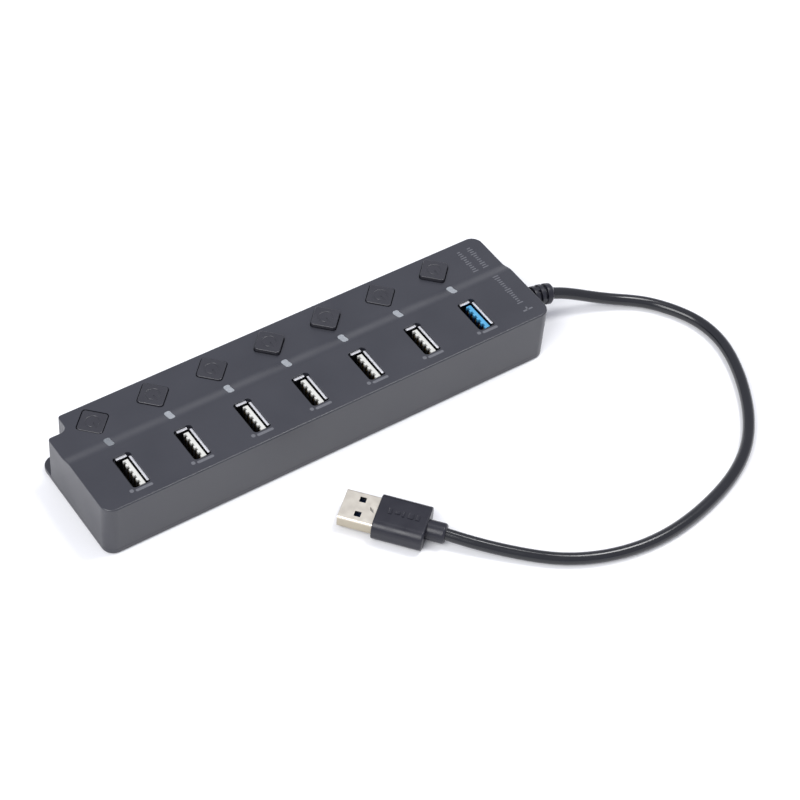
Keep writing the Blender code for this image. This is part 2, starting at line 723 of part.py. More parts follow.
def plug(rubber, metal, plastic):
    """The plug's own X runs from the cable towards its tip."""
    place = bpy.data.objects.new("plug_place", None)
    bpy.context.scene.collection.objects.link(place)
    place.location = PLUG_PLACE
    place.rotation_euler = (0, 0, PLUG_TURN)
    mould_front = NECK_LENGTH + MOULD_LENGTH
    shell_back = mould_front - PLUG_SHELL_IN
    shell_tip = mould_front + PLUG_SHELL_OUT
    mould = prisms(
        "plug_overmould",
        [(rounded_rectangle(*MOULD_SIZE, MOULD_RADIUS), NECK_LENGTH, mould_front)],
        rubber,
        axis="X",
    )
    neck = prisms("neck", [(circle(NECK_RADIUS), 0.0, NECK_LENGTH + OVERLAP)], axis="X")
    combine(mould, neck, "UNION")
    pocket_size = (PLUG_SHELL_SIZE[0] + 2 * GAP, PLUG_SHELL_SIZE[1] + 2 * GAP)
    pocket_outline = rounded_rectangle(*pocket_size, PLUG_SHELL_RADIUS + GAP)
    pocket = prisms("plug_pocket", [(pocket_outline, shell_back - GAP, mould_front + GAP)], axis="X")
    combine(mould, pocket, "DIFFERENCE")
    inner = (PLUG_SHELL_SIZE[0] - 2 * SHELL_WALL, PLUG_SHELL_SIZE[1] - 2 * SHELL_WALL)
    shell = tube(
        "plug_shell",
        rounded_rectangle(*PLUG_SHELL_SIZE, PLUG_SHELL_RADIUS),
        rounded_rectangle(*inner, PLUG_SHELL_RADIUS - SHELL_WALL),
        shell_back,
        shell_tip,
        metal,
        axis="X",
    )
    hole_x = shell_tip - PLUG_HOLE_FROM_TIP
    holes = [
        (
            rounded_rectangle(PLUG_HOLE_SIDE, PLUG_HOLE_SIDE, GAP, (hole_x, side * PLUG_HOLE_HALF_SPACING)),
            -PLUG_SHELL_SIZE[1],
            PLUG_SHELL_SIZE[1],
        )
        for side in (-1, 1)
    ]
    latch_holes = prisms("latch_holes", holes)
    combine(shell, latch_holes, "DIFFERENCE")
    low = -inner[1] / 2 + GAP
    high = inner[1] / 2 - GAP
    block_back = shell_back + GAP
    block_front = block_back + PLUG_BLOCK_LENGTH
    section = [
        (low, block_back),
        (high, block_back),
        (high, block_front),
        (low + PLUG_TONGUE_THICKNESS, block_front),
        (low + PLUG_TONGUE_THICKNESS, shell_tip - PLUG_TONGUE_INSET),
        (low, shell_tip - PLUG_TONGUE_INSET),
    ]
    reach = inner[0] / 2 - GAP
    insulator = prisms("plug_insulator", [(section, -reach, reach)], plastic, axis="Y")
    for piece in (mould, neck, pocket, shell, latch_holes, insulator):
        piece.parent = place


def build():
    clear_scene()
    abs_plastic = material("abs_plastic", (0.075, 0.078, 0.098), 0.5)
    button_plastic = material("button_plastic", (0.08, 0.083, 0.1), 0.45)
    nickel = material("nickel_plated_steel", (0.78, 0.77, 0.74), 0.25, 1.0)
    white_plastic = material("white_plastic", (0.8, 0.8, 0.78), 0.4)
    blue_plastic = material("blue_plastic", (0.02, 0.3, 0.75), 0.4)
    clear_plastic = material("frosted_plastic", (0.62, 0.66, 0.7), 0.35)
    switch_plastic = material("switch_plastic", (0.03, 0.03, 0.03), 0.5)
    board = material("board_laminate", (0.02, 0.18, 0.08), 0.45)
    chip = material("chip_epoxy", (0.015, 0.015, 0.017), 0.55)
    sleeve = material("capacitor_sleeve", (0.02, 0.02, 0.05), 0.35)
    steel = material("screw_steel", (0.5, 0.5, 0.5), 0.35, 1.0)
    rubber = material("foot_rubber", (0.02, 0.02, 0.02), 0.8)
    pvc = material("cable_pvc", (0.06, 0.063, 0.075), 0.35)
    top_shell(abs_plastic)
    bottom_cover(abs_plastic)
    circuit_board(board)
    port_units(nickel, white_plastic, blue_plastic, clear_plastic, button_plastic, switch_plastic)
    board_parts(chip, nickel, sleeve, white_plastic)
    screws_and_feet(steel, rubber)
    cable_and_relief(pvc, pvc)
    plug(pvc, nickel, blue_plastic)


build()
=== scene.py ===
# %% [markdown]
# # A seven-port USB hub
# The hub is a long, low box of charcoal ABS that lies on four rubber feet. Seven USB-A sockets open
# upwards along the front, each with a frosted light window and a diamond-shaped push button behind it.
# A short cable leaves the right end through a ribbed sleeve and lies in a loose bend, down to its plug.
# The engineering model gives every place and size. Here each visible moulding is modelled again with
# its small radii, gaps and marks, and every surface gets the finish that it has in the hand.

# %% Load the engineering model
import math
from contextlib import contextmanager

import bmesh
import bpy
import numpy as np
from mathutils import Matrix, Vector


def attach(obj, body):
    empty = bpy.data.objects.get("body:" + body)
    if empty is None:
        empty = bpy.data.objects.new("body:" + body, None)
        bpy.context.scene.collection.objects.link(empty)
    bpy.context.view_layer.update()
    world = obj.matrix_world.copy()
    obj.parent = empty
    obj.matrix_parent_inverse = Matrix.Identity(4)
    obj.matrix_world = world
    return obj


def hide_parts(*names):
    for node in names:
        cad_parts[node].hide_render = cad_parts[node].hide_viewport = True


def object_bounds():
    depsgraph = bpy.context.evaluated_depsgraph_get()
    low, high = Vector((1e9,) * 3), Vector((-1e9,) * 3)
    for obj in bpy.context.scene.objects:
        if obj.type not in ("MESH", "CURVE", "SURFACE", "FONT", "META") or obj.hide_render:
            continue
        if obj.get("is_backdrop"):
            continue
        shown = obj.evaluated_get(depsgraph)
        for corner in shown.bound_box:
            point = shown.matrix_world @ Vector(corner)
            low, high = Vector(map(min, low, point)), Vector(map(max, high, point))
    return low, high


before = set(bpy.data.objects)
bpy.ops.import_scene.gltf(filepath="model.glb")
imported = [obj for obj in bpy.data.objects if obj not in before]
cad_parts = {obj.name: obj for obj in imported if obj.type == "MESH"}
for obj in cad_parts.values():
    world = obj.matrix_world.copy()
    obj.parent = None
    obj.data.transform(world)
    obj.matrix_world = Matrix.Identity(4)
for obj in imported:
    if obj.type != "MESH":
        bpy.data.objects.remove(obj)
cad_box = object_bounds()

MM = 0.001


def mm(*sizes):
    """Several sizes in millimetres, as metres."""
    return [size * MM for size in sizes]


# %% [markdown]
# ## The camera
# The hub is seen from above its left front corner, through a long lens: all the sockets can be looked
# into, and the perspective stays gentle. A 104 mm lens at about 0.75 m does that, with a slight roll.

# %% Set up the camera
LENS = 104.04
CAMERA_PLACE = (-0.28556, -0.41214, 0.56043)
CAMERA_TURN = (42.0764, -3.7484, -34.2270)

bpy.ops.object.camera_add(
    location=CAMERA_PLACE, rotation=[math.radians(angle) for angle in CAMERA_TURN]
)
camera = bpy.context.object
camera.data.lens = LENS
camera.data.dof.use_dof = False
bpy.context.scene.camera = camera
print("camera at", [round(value, 3) for value in camera.location])

# %% [markdown]
# ## Colour and finish helpers
# Colours are written as sRGB hex values, the way a colour picker shows them, but shaders add and
# multiply light, so one function turns them linear. Another adds a node with its settings and links.
# A pattern's scale is a number per metre, so it is always worked out from a size in millimetres.

# %% Colour, node and material helpers
def linear(hex_colour):
    """A linear RGBA colour from an sRGB hex string."""
    parts = [int(hex_colour[start:start + 2], 16) / 255 for start in (1, 3, 5)]
    return [p / 12.92 if p <= 0.04045 else ((p + 0.055) / 1.055) ** 2.4 for p in parts] + [1.0]


def add_node(material, kind, options=None, inputs=None):
    """Add a shader node: set its options, then fill or link its inputs."""
    made = material.node_tree.nodes.new(kind)
    for name, value in (options or {}).items():
        setattr(made, name, value)
    for name, value in (inputs or {}).items():
        if isinstance(value, bpy.types.NodeSocket):
            material.node_tree.links.new(value, made.inputs[name])
        else:
            made.inputs[name].default_value = value
    return made


def per_mm(size):
    """The texture scale whose features are about this many millimetres across."""
    return 1 / (size * MM)


# A Mix node has its sockets once for each kind of value; these are the colour ones.
MIX_A, MIX_B, MIX_RESULT = 6, 7, 2


def make_finish(name, colours, roughness, mottle, grain, depth, stretch=(1, 1, 1), **settings):
    """A Principled material, cloudy in colour and gloss, with a fine grain that the light can catch.

    colours are the middle, light and dark one, and roughness is the middle, lowest and highest.
    mottle, grain and the grain's depth are in millimetres. Every other setting is a shader socket.
    """
    made = bpy.data.materials.new(name)
    made.use_nodes = True
    shader = made.node_tree.nodes["Principled BSDF"]
    main, light, dark = [linear(hex_colour) for hex_colour in colours.split()]
    shader.inputs["Base Color"].default_value = main
    shader.inputs["Roughness"].default_value = roughness[0]
    for socket, value in settings.items():
        shader.inputs[socket.replace("_", " ")].default_value = value

    where = add_node(made, "ShaderNodeTexCoord")
    placed = add_node(made, "ShaderNodeMapping", inputs={"Vector": where.outputs["Object"], "Scale": stretch})
    clouds = add_node(made, "ShaderNodeTexNoise", inputs={
        "Vector": placed.outputs["Vector"], "Scale": per_mm(mottle), "Detail": 3.0,
    })
    shade = add_node(made, "ShaderNodeMix", {"data_type": "RGBA"}, {
        "Factor": clouds.outputs["Fac"], MIX_A: dark, MIX_B: light,
    })
    gloss = add_node(made, "ShaderNodeMapRange", inputs={
        "Value": clouds.outputs["Fac"], "From Min": 0.3, "From Max": 0.7,
        "To Min": roughness[1], "To Max": roughness[2],
    })
    specks = add_node(made, "ShaderNodeTexNoise", inputs={
        "Vector": placed.outputs["Vector"], "Scale": per_mm(grain), "Detail": 2.0,
    })
    relief = add_node(made, "ShaderNodeBump", inputs={
        "Height": specks.outputs["Fac"], "Distance": depth * MM, "Strength": 1.0,
    })
    links = made.node_tree.links
    links.new(shade.outputs[MIX_RESULT], shader.inputs["Base Color"])
    links.new(gloss.outputs["Result"], shader.inputs["Roughness"])
    links.new(relief.outputs["Normal"], shader.inputs["Normal"])
    return made


print("charcoal in linear light:", [round(value, 4) for value in linear("#3B3C46")[:3]])

# %% [markdown]
# ## Modelling helpers
# Everything new starts as a primitive at its real size and place, and is then shaped in edit mode.
# Operators work on what is selected, so `only` clears the selection first and `pick` chooses corners,
# edges or faces by where they are or which way they face. Modifiers are applied as soon as they are set.

# %% Selecting and shaping
def only(*pieces):
    bpy.ops.object.select_all(action="DESELECT")
    for piece in pieces:
        piece.select_set(True)
    bpy.context.view_layer.objects.active = pieces[0]


@contextmanager
def editing(piece):
    only(piece)
    bpy.ops.object.mode_set(mode="EDIT")
    yield
    bpy.ops.object.mode_set(mode="OBJECT")


def pick(kind, test):
    """In edit mode, select only the VERTs, EDGEs or FACEs that pass the test, and return how many."""
    bpy.ops.mesh.select_mode(type=kind)
    bpy.ops.mesh.select_all(action="DESELECT")
    mesh = bmesh.from_edit_mesh(bpy.context.edit_object.data)
    parts = {"VERT": mesh.verts, "EDGE": mesh.edges, "FACE": mesh.faces}[kind]
    chosen = [part for part in parts if test(part)]
    for part in chosen:
        part.select_set(True)
    mesh.select_flush_mode()
    bmesh.update_edit_mesh(bpy.context.edit_object.data)
    return len(chosen)


def same(a, b, slack=0.01 * MM):
    return abs(a - b) < slack


def middle(edge):
    return (edge.verts[0].co + edge.verts[1].co) / 2


def runs_along(edge, axis):
    line = edge.verts[1].co - edge.verts[0].co
    return abs(line["XYZ".index(axis)]) > 0.99 * line.length


def is_sharp(edge, degrees=50):
    return len(edge.link_faces) == 2 and edge.calc_face_angle() > math.radians(degrees)


def bevel(radius, segments):
    bpy.ops.mesh.bevel(offset=radius, segments=segments, profile=0.5, clamp_overlap=True)


def soften(axis, at, radius, segments):
    """In edit mode, round the sharp edges that lie at one place along an axis."""
    index = "XYZ".index(axis)
    pick("EDGE", lambda e: is_sharp(e) and same(middle(e)[index], at))
    bevel(radius, segments)


def round_off(piece, axis, at, radius, segments):
    with editing(piece):
        soften(axis, at, radius, segments)


def slice_at(axis, at):
    """In edit mode, cut the whole mesh across at one place along an axis."""
    place, across = [0.0, 0.0, 0.0], [0.0, 0.0, 0.0]
    place["XYZ".index(axis)], across["XYZ".index(axis)] = at, 1.0
    bpy.ops.mesh.select_all(action="SELECT")
    bpy.ops.mesh.bisect(plane_co=place, plane_no=across, threshold=1e-7)


def draw_out(*way):
    """In edit mode, extrude the selected faces this way."""
    bpy.ops.mesh.extrude_region_move(TRANSFORM_OT_translate={"value": way})


def apply_place(piece):
    only(piece)
    bpy.ops.object.transform_apply(location=True, rotation=True, scale=True)


def block(name, low, high):
    """A box between two opposite corners, given in any order."""
    low, high = Vector(map(min, low, high)), Vector(map(max, low, high))
    only(camera)
    bpy.ops.mesh.primitive_cube_add(size=1, location=(low + high) / 2, scale=high - low)
    made = bpy.context.object
    made.name = name
    apply_place(made)
    return made


def rod(name, radius, start, end, sides=48):
    """A round bar from one point to another."""
    start, end = Vector(start), Vector(end)
    only(camera)
    bpy.ops.mesh.primitive_cylinder_add(
        vertices=sides, radius=radius, depth=(end - start).length, location=(start + end) / 2,
        rotation=(end - start).to_track_quat("Z", "Y").to_euler(),
    )
    made = bpy.context.object
    made.name = name
    apply_place(made)
    return made


def modify(piece, kind, **settings):
    """Add a modifier, set it and apply it."""
    only(piece)
    step = piece.modifiers.new(kind.title(), kind)
    for name, value in settings.items():
        setattr(step, name, value)
    bpy.ops.object.modifier_apply(modifier=step.name)


def make_hollow(piece, thickness, is_open, **settings):
    """Take away the faces that are to be open, and give the others a wall, inwards."""
    with editing(piece):
        pick("FACE", is_open)
        bpy.ops.mesh.delete(type="ONLY_FACE")
    modify(piece, "SOLIDIFY", thickness=thickness, offset=-1.0, use_even_offset=True, **settings)


def combine(piece, tools, operation):
    """Cut each tool out of the piece or weld it on; the tools are used up."""
    for tool in tools:
        modify(piece, "BOOLEAN", operation=operation, solver="EXACT", object=tool)
        bpy.data.objects.remove(tool, do_unlink=True)


def joined(pieces):
    """Several separate pieces as one object, where they don't touch each other."""
    only(*pieces)
    if len(pieces) > 1:
        bpy.ops.object.join()
    return bpy.context.object


def copy_to(piece, name, offset):
    """A copy with its own mesh, moved by the offset."""
    only(piece)
    bpy.ops.object.duplicate(linked=False)
    made = bpy.context.object
    made.name = name
    made.location = offset
    apply_place(made)
    return made


def count_faces(piece):
    print(piece.name, "has", len(piece.data.polygons), "faces")


def finish_piece(piece, look, body="housing", stands_for=(), angle=40):
    """Shade a finished moulding, give it its material, attach it to the body it rides on and hide the parts it
    stands for.
    """
    only(piece)
    bpy.ops.object.shade_smooth_by_angle(angle=math.radians(angle))
    modify(piece, "WEIGHTED_NORMAL", keep_sharp=True)
    piece.data.materials.clear()
    piece.data.materials.append(look)
    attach(piece, body)
    if stands_for:
        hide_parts(*stands_for)


# %% [markdown]
# ## The cable's route
# The cable is 4 mm of soft PVC round its wires. It leaves the sleeve level, droops to the table within
# a few centimetres, swings round in one wide bend and comes back to the plug. The route's points are
# read from one natural cubic spline, which is how a springy cable really bends, so that no straight
# run or arc can be told apart.

# %% Draw the route as a spline
CABLE_RADIUS = 2.0 * MM
CABLE_STEP = 1.5 * MM
CABLE_TUCK = 2.0 * MM
RELIEF_LENGTH = 13.7 * MM
CABLE_ROUTE = (
    (83.3, -5.3, 10.7), (90.0, -5.5, 10.5), (96.2, -6.6, 9.6), (102.8, -8.6, 7.7), (109.5, -11.3, 5.3),
    (117.0, -14.9, 3.3), (125.6, -20.4, 2.3), (132.4, -28.6, 2.1), (136.6, -38.0, 2.1),
    (137.3, -48.6, 2.1), (134.5, -59.6, 2.1), (129.4, -70.6, 2.1), (122.4, -81.2, 2.1),
    (113.7, -90.0, 2.1), (102.9, -96.6, 2.1), (91.0, -101.0, 2.1), (78.8, -103.8, 2.1),
    (66.5, -104.8, 2.1), (54.5, -103.5, 2.1), (43.2, -99.9, 2.1), (34.2, -94.9, 2.1),
    (26.9, -88.9, 2.2), (20.1, -82.4, 2.6), (13.8, -75.9, 3.3), (8.65, -70.0, 4.0),
)


def natural_spline(points, step):
    """Points along a natural cubic spline through the given points, about one step apart."""
    knots = np.array(points, dtype=float)
    lengths = np.linalg.norm(np.diff(knots, axis=0), axis=1)
    at = np.concatenate([[0.0], np.cumsum(lengths)])
    count = len(knots)
    system = np.eye(count)
    bend = np.zeros_like(knots)
    for index in range(1, count - 1):
        before, after = lengths[index - 1], lengths[index]
        system[index, index - 1:index + 2] = (before, 2 * (before + after), after)
        rise = (knots[index + 1] - knots[index]) / after
        fall = (knots[index] - knots[index - 1]) / before
        bend[index] = 6 * (rise - fall)
    curvature = np.linalg.solve(system, bend)
    made = []
    for where in np.linspace(0.0, at[-1], int(round(at[-1] / step)) + 1):
        span = min(int(np.searchsorted(at, where, side="right")) - 1, count - 2)
        length = lengths[span]
        left = (at[span + 1] - where) / length
        right = 1.0 - left
        point = left * knots[span] + right * knots[span + 1]
        point += length ** 2 / 6 * (
            (left ** 3 - left) * curvature[span] + (right ** 3 - right) * curvature[span + 1]
        )
        made.append(Vector(point))
    return made


def route_length(points):
    return sum((b - a).length for a, b in zip(points, points[1:]))


def open_curve(name, points):
    """A curve object of one open spline through the points."""
    data = bpy.data.curves.new(name, "CURVE")
    data.dimensions = "3D"
    spline = data.splines.new("POLY")
    spline.points.add(len(points) - 1)
    for place, point in zip(spline.points, points):
        place.co = (*point, 1.0)
    made = bpy.data.objects.new(name, data)
    bpy.context.scene.collection.objects.link(made)
    return made


route = natural_spline([mm(*point) for point in CABLE_ROUTE], CABLE_STEP)
print("route from wall to plug:", round(route_length(route) / MM, 1), "mm")

# %% [markdown]
# ## The cable's jacket
# The jacket is extruded PVC: a dark, slightly blue grey with a satin skin. Extruding leaves it smooth
# along its length, so it carries one long, soft highlight, a little broken by handling.

# %% Make the jacket's finish and the cable
cable_pvc = make_finish(
    "extruded_satin_pvc", "#17181C #191A1F #141519", (0.16, 0.08, 0.24), mottle=9.0, grain=0.5, depth=0.002,
    IOR=1.5)

skipped = 0.0
kept = []
for before, point in zip(route, route[1:]):
    skipped += (point - before).length
    if skipped > RELIEF_LENGTH - CABLE_TUCK:
        kept.append(point)
plug_way = (route[-1] - route[-2]).normalized()
kept.append(route[-1] + plug_way * CABLE_TUCK)
cable = open_curve("cable_jacket", kept)
cable.data.bevel_depth = CABLE_RADIUS
cable.data.bevel_resolution = 6
cable.data.use_fill_caps = True
cable.data.materials.append(cable_pvc)
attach(cable, "housing")
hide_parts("cable")

# %% [markdown]
# ## The floor and the light
# The hub lies on white paper in a light tent. The tent gives an even, slightly cool glow, and two soft
# lights, overhead and from the left, make the paper brighter than anything else. The walls mirror that
# paper at a flat angle, so they read lighter than the top, the left end most of all. The overhead light
# is the smaller one, and draws the thin bright lines along the edges and the cable. A faint low light
# behind shows up only in the ramp. The standard view transform lets the paper reach pure white.

# %% Build the floor and the lights
FLOOR_SIZE = 6.0
TENT_COLOUR, TENT_STRENGTH = "#E9EBF7", 0.82


def soft_light(name, place, width, height, power):
    """A white area light that is aimed at the middle of the hub."""
    only(camera)
    bpy.ops.object.light_add(type="AREA", location=place)
    made = bpy.context.object
    made.name = name
    made.rotation_euler = (-Vector(place)).to_track_quat("-Z", "Y").to_euler()
    made.data.shape = "RECTANGLE"
    made.data.size = width
    made.data.size_y = height
    made.data.energy = power


floor_paper = make_finish(
    "matt_white_paper", "#F2F2F2 #F4F4F4 #EFEFEF", (0.9, 0.85, 0.95), mottle=60.0, grain=1.5, depth=0.01,
    IOR=1.45)
only(camera)
bpy.ops.mesh.primitive_plane_add(size=FLOOR_SIZE, location=(0, 0, 0))
floor = bpy.context.object
floor.name = "floor"
floor.data.materials.append(floor_paper)
floor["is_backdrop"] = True

world = bpy.data.worlds.new("light_tent")
bpy.context.scene.world = world
world.use_nodes = True
tent = world.node_tree.nodes["Background"]
tent.inputs["Color"].default_value = linear(TENT_COLOUR)
tent.inputs["Strength"].default_value = TENT_STRENGTH
bpy.context.scene.view_settings.view_transform = "Standard"
soft_light("overhead_light", (0.5, -0.04, 1.2), 0.4, 0.4, 7)
soft_light("left_light", (-0.8, -0.3, 0.9), 0.7, 0.7, 11)
soft_light("rear_light", (0.55, 1.2, 0.2), 1.0, 0.3, 0.7)
print("lights:", [light.name for light in bpy.data.lights])

# %% [markdown]
# ## Moulded ABS
# The housing is injection-moulded ABS, a charcoal with a touch of blue. The mould was spark-eroded, so
# the skin has a very fine, even grain that spreads each highlight. The real grain is near 0.1 mm, too
# fine to show from here, so it is drawn at 0.3 mm and shallow.

# %% Make the housing's and the buttons' finish
housing_abs = make_finish(
    "moulded_abs_spark_eroded", "#27282F #292A32 #23242B", (0.36, 0.32, 0.4),
    mottle=18.0, grain=0.3, depth=0.006,
    IOR=1.54, Specular_IOR_Level=0.6)
button_abs = make_finish(
    "moulded_abs_fine_satin", "#24242A #26262D #202026", (0.34, 0.3, 0.38),
    mottle=6.0, grain=0.3, depth=0.005,
    IOR=1.54, Specular_IOR_Level=0.55)
print("plastics ready")

# %% [markdown]
# ## The top shell
# The upper moulding is an open box, 1.5 mm thick, with rounded corners. Its rear half is lower than the
# front, joined by a soft ramp, and a notch is taken out of the left rear corner. It starts as a cube:
# the upright edges are rounded, a block cuts the notch, and the top is bisected into narrow strips so
# that everything behind each strip can be pressed down a little more. Then the underside is opened and
# Solidify gives the wall its thickness.

# %% Shape the outside of the shell
BODY_LENGTH, BODY_WIDTH = mm(166.6, 43.3)
HALF_LENGTH, HALF_WIDTH = BODY_LENGTH / 2, BODY_WIDTH / 2
CORNER_RADIUS = 4.0 * MM
WALL = 1.5 * MM
PRINT_HEIGHT = 0.02 * MM
FRONT_TOP = 21.1 * MM - PRINT_HEIGHT
REAR_TOP = 19.65 * MM
RAMP = mm(0.4, 6.4)
RAMP_STRIPS = 12
COVER_TOP = 2.4 * MM
SHELL_BOTTOM = COVER_TOP + 0.04 * MM
NOTCH_X, NOTCH_Y = mm(-76.4, 15.1)
NOTCH_FILLET = 2.6 * MM
NOTCH_EDGE = 1.0 * MM
EDGE_RADIUS = 0.5 * MM


def press_down_rear(piece, above):
    """Give the top of a piece the ramp: bisect it into strips and lower each row a little more."""
    rows = [RAMP[0] + (RAMP[1] - RAMP[0]) * step / RAMP_STRIPS for step in range(RAMP_STRIPS + 1)]
    with editing(piece):
        for row in rows:
            slice_at("Y", row)
        lowered = 0.0
        for step, row in enumerate(rows):
            share = step / RAMP_STRIPS
            drop = (FRONT_TOP - REAR_TOP) * share * share * (3 - 2 * share)
            found = pick("VERT", lambda v: v.co.z > above and v.co.y > row - 0.001 * MM)
            if found and drop > lowered:
                bpy.ops.transform.translate(value=(0, 0, lowered - drop))
            lowered = drop


shell = block(
    "top_shell_moulding", (-HALF_LENGTH, -HALF_WIDTH, SHELL_BOTTOM), (HALF_LENGTH, HALF_WIDTH, FRONT_TOP))
with editing(shell):
    pick("EDGE", lambda e: runs_along(e, "Z"))
    bevel(CORNER_RADIUS, 10)
notch = block("notch", (-BODY_LENGTH, NOTCH_Y, -BODY_WIDTH), (NOTCH_X, BODY_WIDTH, BODY_WIDTH))
with editing(notch):
    pick("EDGE", lambda e: runs_along(e, "Z") and same(middle(e).x, NOTCH_X) and same(middle(e).y, NOTCH_Y))
    bevel(NOTCH_FILLET, 8)
combine(shell, [notch], "DIFFERENCE")
press_down_rear(shell, above=FRONT_TOP - 2 * MM)
print("outside of the shell:", len(shell.data.polygons), "faces")

# %% Open the underside, give the wall its thickness and round the edges
make_hollow(shell, WALL, lambda f: f.normal.z < -0.9, use_quality_normals=True)


def is_notch_edge(edge):
    x, y = middle(edge).x, middle(edge).y
    return runs_along(edge, "Z") and (
        (same(x, NOTCH_X) and same(y, HALF_WIDTH)) or (same(x, -HALF_LENGTH) and same(y, NOTCH_Y))
    )


def is_top_outline(edge):
    slopes = [face.normal.z for face in edge.link_faces]
    return len(slopes) == 2 and max(slopes) > 0.7 and abs(min(slopes, key=abs)) < 0.3 \
        and middle(edge).z > REAR_TOP - 0.3 * MM


with editing(shell):
    found = pick("EDGE", is_notch_edge)
    bevel(NOTCH_EDGE, 5)
    rounded = pick("EDGE", is_top_outline)
    bevel(EDGE_RADIUS, 4)
print("notch edges:", found, "top edges rounded:", rounded)

# %% [markdown]
# ## Openings in the shell
# Each of the seven units needs a hole for its socket, its light and its diamond button, and the cable's
# sleeve needs a round hole in the right end. One cutter of each kind is shaped and copied along the
# row, and all the cutters are taken out of the shell together. The rims of the sockets' and buttons'
# holes are then broken with a tiny bevel, as the mould's own edges are. Four bosses inside the shell
# take the screws.

# %% Cut the openings
COUNT = 7
PITCH = 21.5 * MM
FIRST_X = -68.2 * MM
PORT_Y, LIGHT_Y, BUTTON_Y = mm(-10.1, 3.6, 14.05)
PORT_SIZE = mm(5.72, 13.1)
PORT_RADIUS = 0.9 * MM
PORT_GAP = 0.3 * MM
LIGHT_SIZE = mm(2.25, 4.1)
LIGHT_RADIUS = 0.75 * MM
LIGHT_GAP = 0.05 * MM
BUTTON_SIDE = 8.3 * MM
BUTTON_RADIUS = 1.0 * MM
BUTTON_GAP = 0.25 * MM
EXIT_Y, EXIT_Z = mm(-5.3, 10.7)
NECK_RADIUS = 2.9 * MM
BOSS_RADIUS, BOSS_HOLE, BOSS_BOTTOM, BOSS_DEPTH = mm(3.1, 1.6, 5.3, 12.3)
BOSS_COVERED = 0.8 * MM
EXIT_GAP = 0.15 * MM
RIM_ROUND = 0.1 * MM


def places(*pairs):
    return [mm(*pair) for pair in pairs]


def rods_at(spots, name, radius, low, high, sides=48):
    """An upright round bar at each of the places."""
    return [rod(name, radius, (x, y, low), (x, y, high), sides) for x, y in spots]


BOSSES = places((-77.4, -16.0), (-77.4, 8.0), (77.4, -15.6), (77.4, 15.6))


def rounded_block(name, centre, size, radius, low, high, turn=0.0, segments=5):
    """An upright block with rounded corners, turned about its middle."""
    x, y = size[0] / 2, size[1] / 2
    made = block(name, (-x, -y, low), (x, y, high))
    with editing(made):
        pick("EDGE", lambda e: runs_along(e, "Z"))
        bevel(radius, segments)
    made.rotation_euler.z = turn
    made.location = (centre[0], centre[1], 0)
    apply_place(made)
    return made


def along_row(piece):
    """The piece and six copies of it, one for each unit."""
    return [piece] + [
        copy_to(piece, f"{piece.name}_{number + 1}", (PITCH * number, 0, 0)) for number in range(1, COUNT)
    ]


def finish_row(piece, looks, node=None):
    """Copy a piece along the row, then number and finish each; looks has a (material, slot) for each, and the
    slot is not used.
    """
    name = piece.name
    for number, (made, (look, slot)) in enumerate(zip(along_row(piece), looks), 1):
        made.name = f"{name}_{number}"
        finish_piece(made, look, stands_for=(f"{node}_{number}",) if node else ())


def grown(size, gap):
    return [side + 2 * gap for side in size]


low, high = 15 * MM, 24 * MM  # the cutters reach from inside the box to above it
square = (BUTTON_SIDE, BUTTON_SIDE)
cutters = along_row(rounded_block(
    "port_hole", (FIRST_X, PORT_Y), grown(PORT_SIZE, PORT_GAP), PORT_RADIUS + PORT_GAP, low, high))
cutters += along_row(rounded_block(
    "light_hole", (FIRST_X, LIGHT_Y), grown(LIGHT_SIZE, LIGHT_GAP), LIGHT_RADIUS + LIGHT_GAP, low, high))
cutters += along_row(rounded_block(
    "button_hole", (FIRST_X, BUTTON_Y), grown(square, BUTTON_GAP), BUTTON_RADIUS + BUTTON_GAP, low, high,
    turn=math.radians(45)))
cutters.append(rod(
    "exit_hole", NECK_RADIUS + EXIT_GAP, (HALF_LENGTH - 3 * MM, EXIT_Y, EXIT_Z),
    (HALF_LENGTH + MM, EXIT_Y, EXIT_Z)))
bosses = []
for x, y in BOSSES:
    roof = REAR_TOP if y > 0 else FRONT_TOP
    bosses.append(rod("boss", BOSS_RADIUS, (x, y, BOSS_BOTTOM), (x, y, roof - BOSS_COVERED)))
combine(shell, [joined(bosses)], "UNION")
cutters += rods_at(BOSSES, "boss_hole", BOSS_HOLE, BOSS_BOTTOM - MM, BOSS_DEPTH, sides=24)
combine(shell, [joined(cutters)], "DIFFERENCE")


def is_rim(edge):
    """A sharp edge in the top face, away from the outline: the rim of a socket or a button."""
    place = middle(edge)
    level = same(place.z, FRONT_TOP) or same(place.z, REAR_TOP)
    inside = abs(place.x) < HALF_LENGTH - 2 * MM and abs(place.y) < HALF_WIDTH - MM
    in_light = RAMP[0] < place.y < RAMP[1]
    return level and inside and not in_light and is_sharp(edge)


with editing(shell):
    found = pick("EDGE", is_rim)
    bevel(RIM_ROUND, 2)
finish_piece(shell, housing_abs, stands_for=("top_shell",))
print("rim edges:", found, "shell faces:", len(shell.data.polygons))

# %% [markdown]
# ## The bottom cover
# A flat tray closes the housing. It keeps the left rear corner that the shell leaves out, so a small
# ledge shows there. A rounded frame makes the lip that fits inside the shell. It is welded on with the
# screw posts and the board's standoffs, and recesses for the feet and the screw heads are cut below.

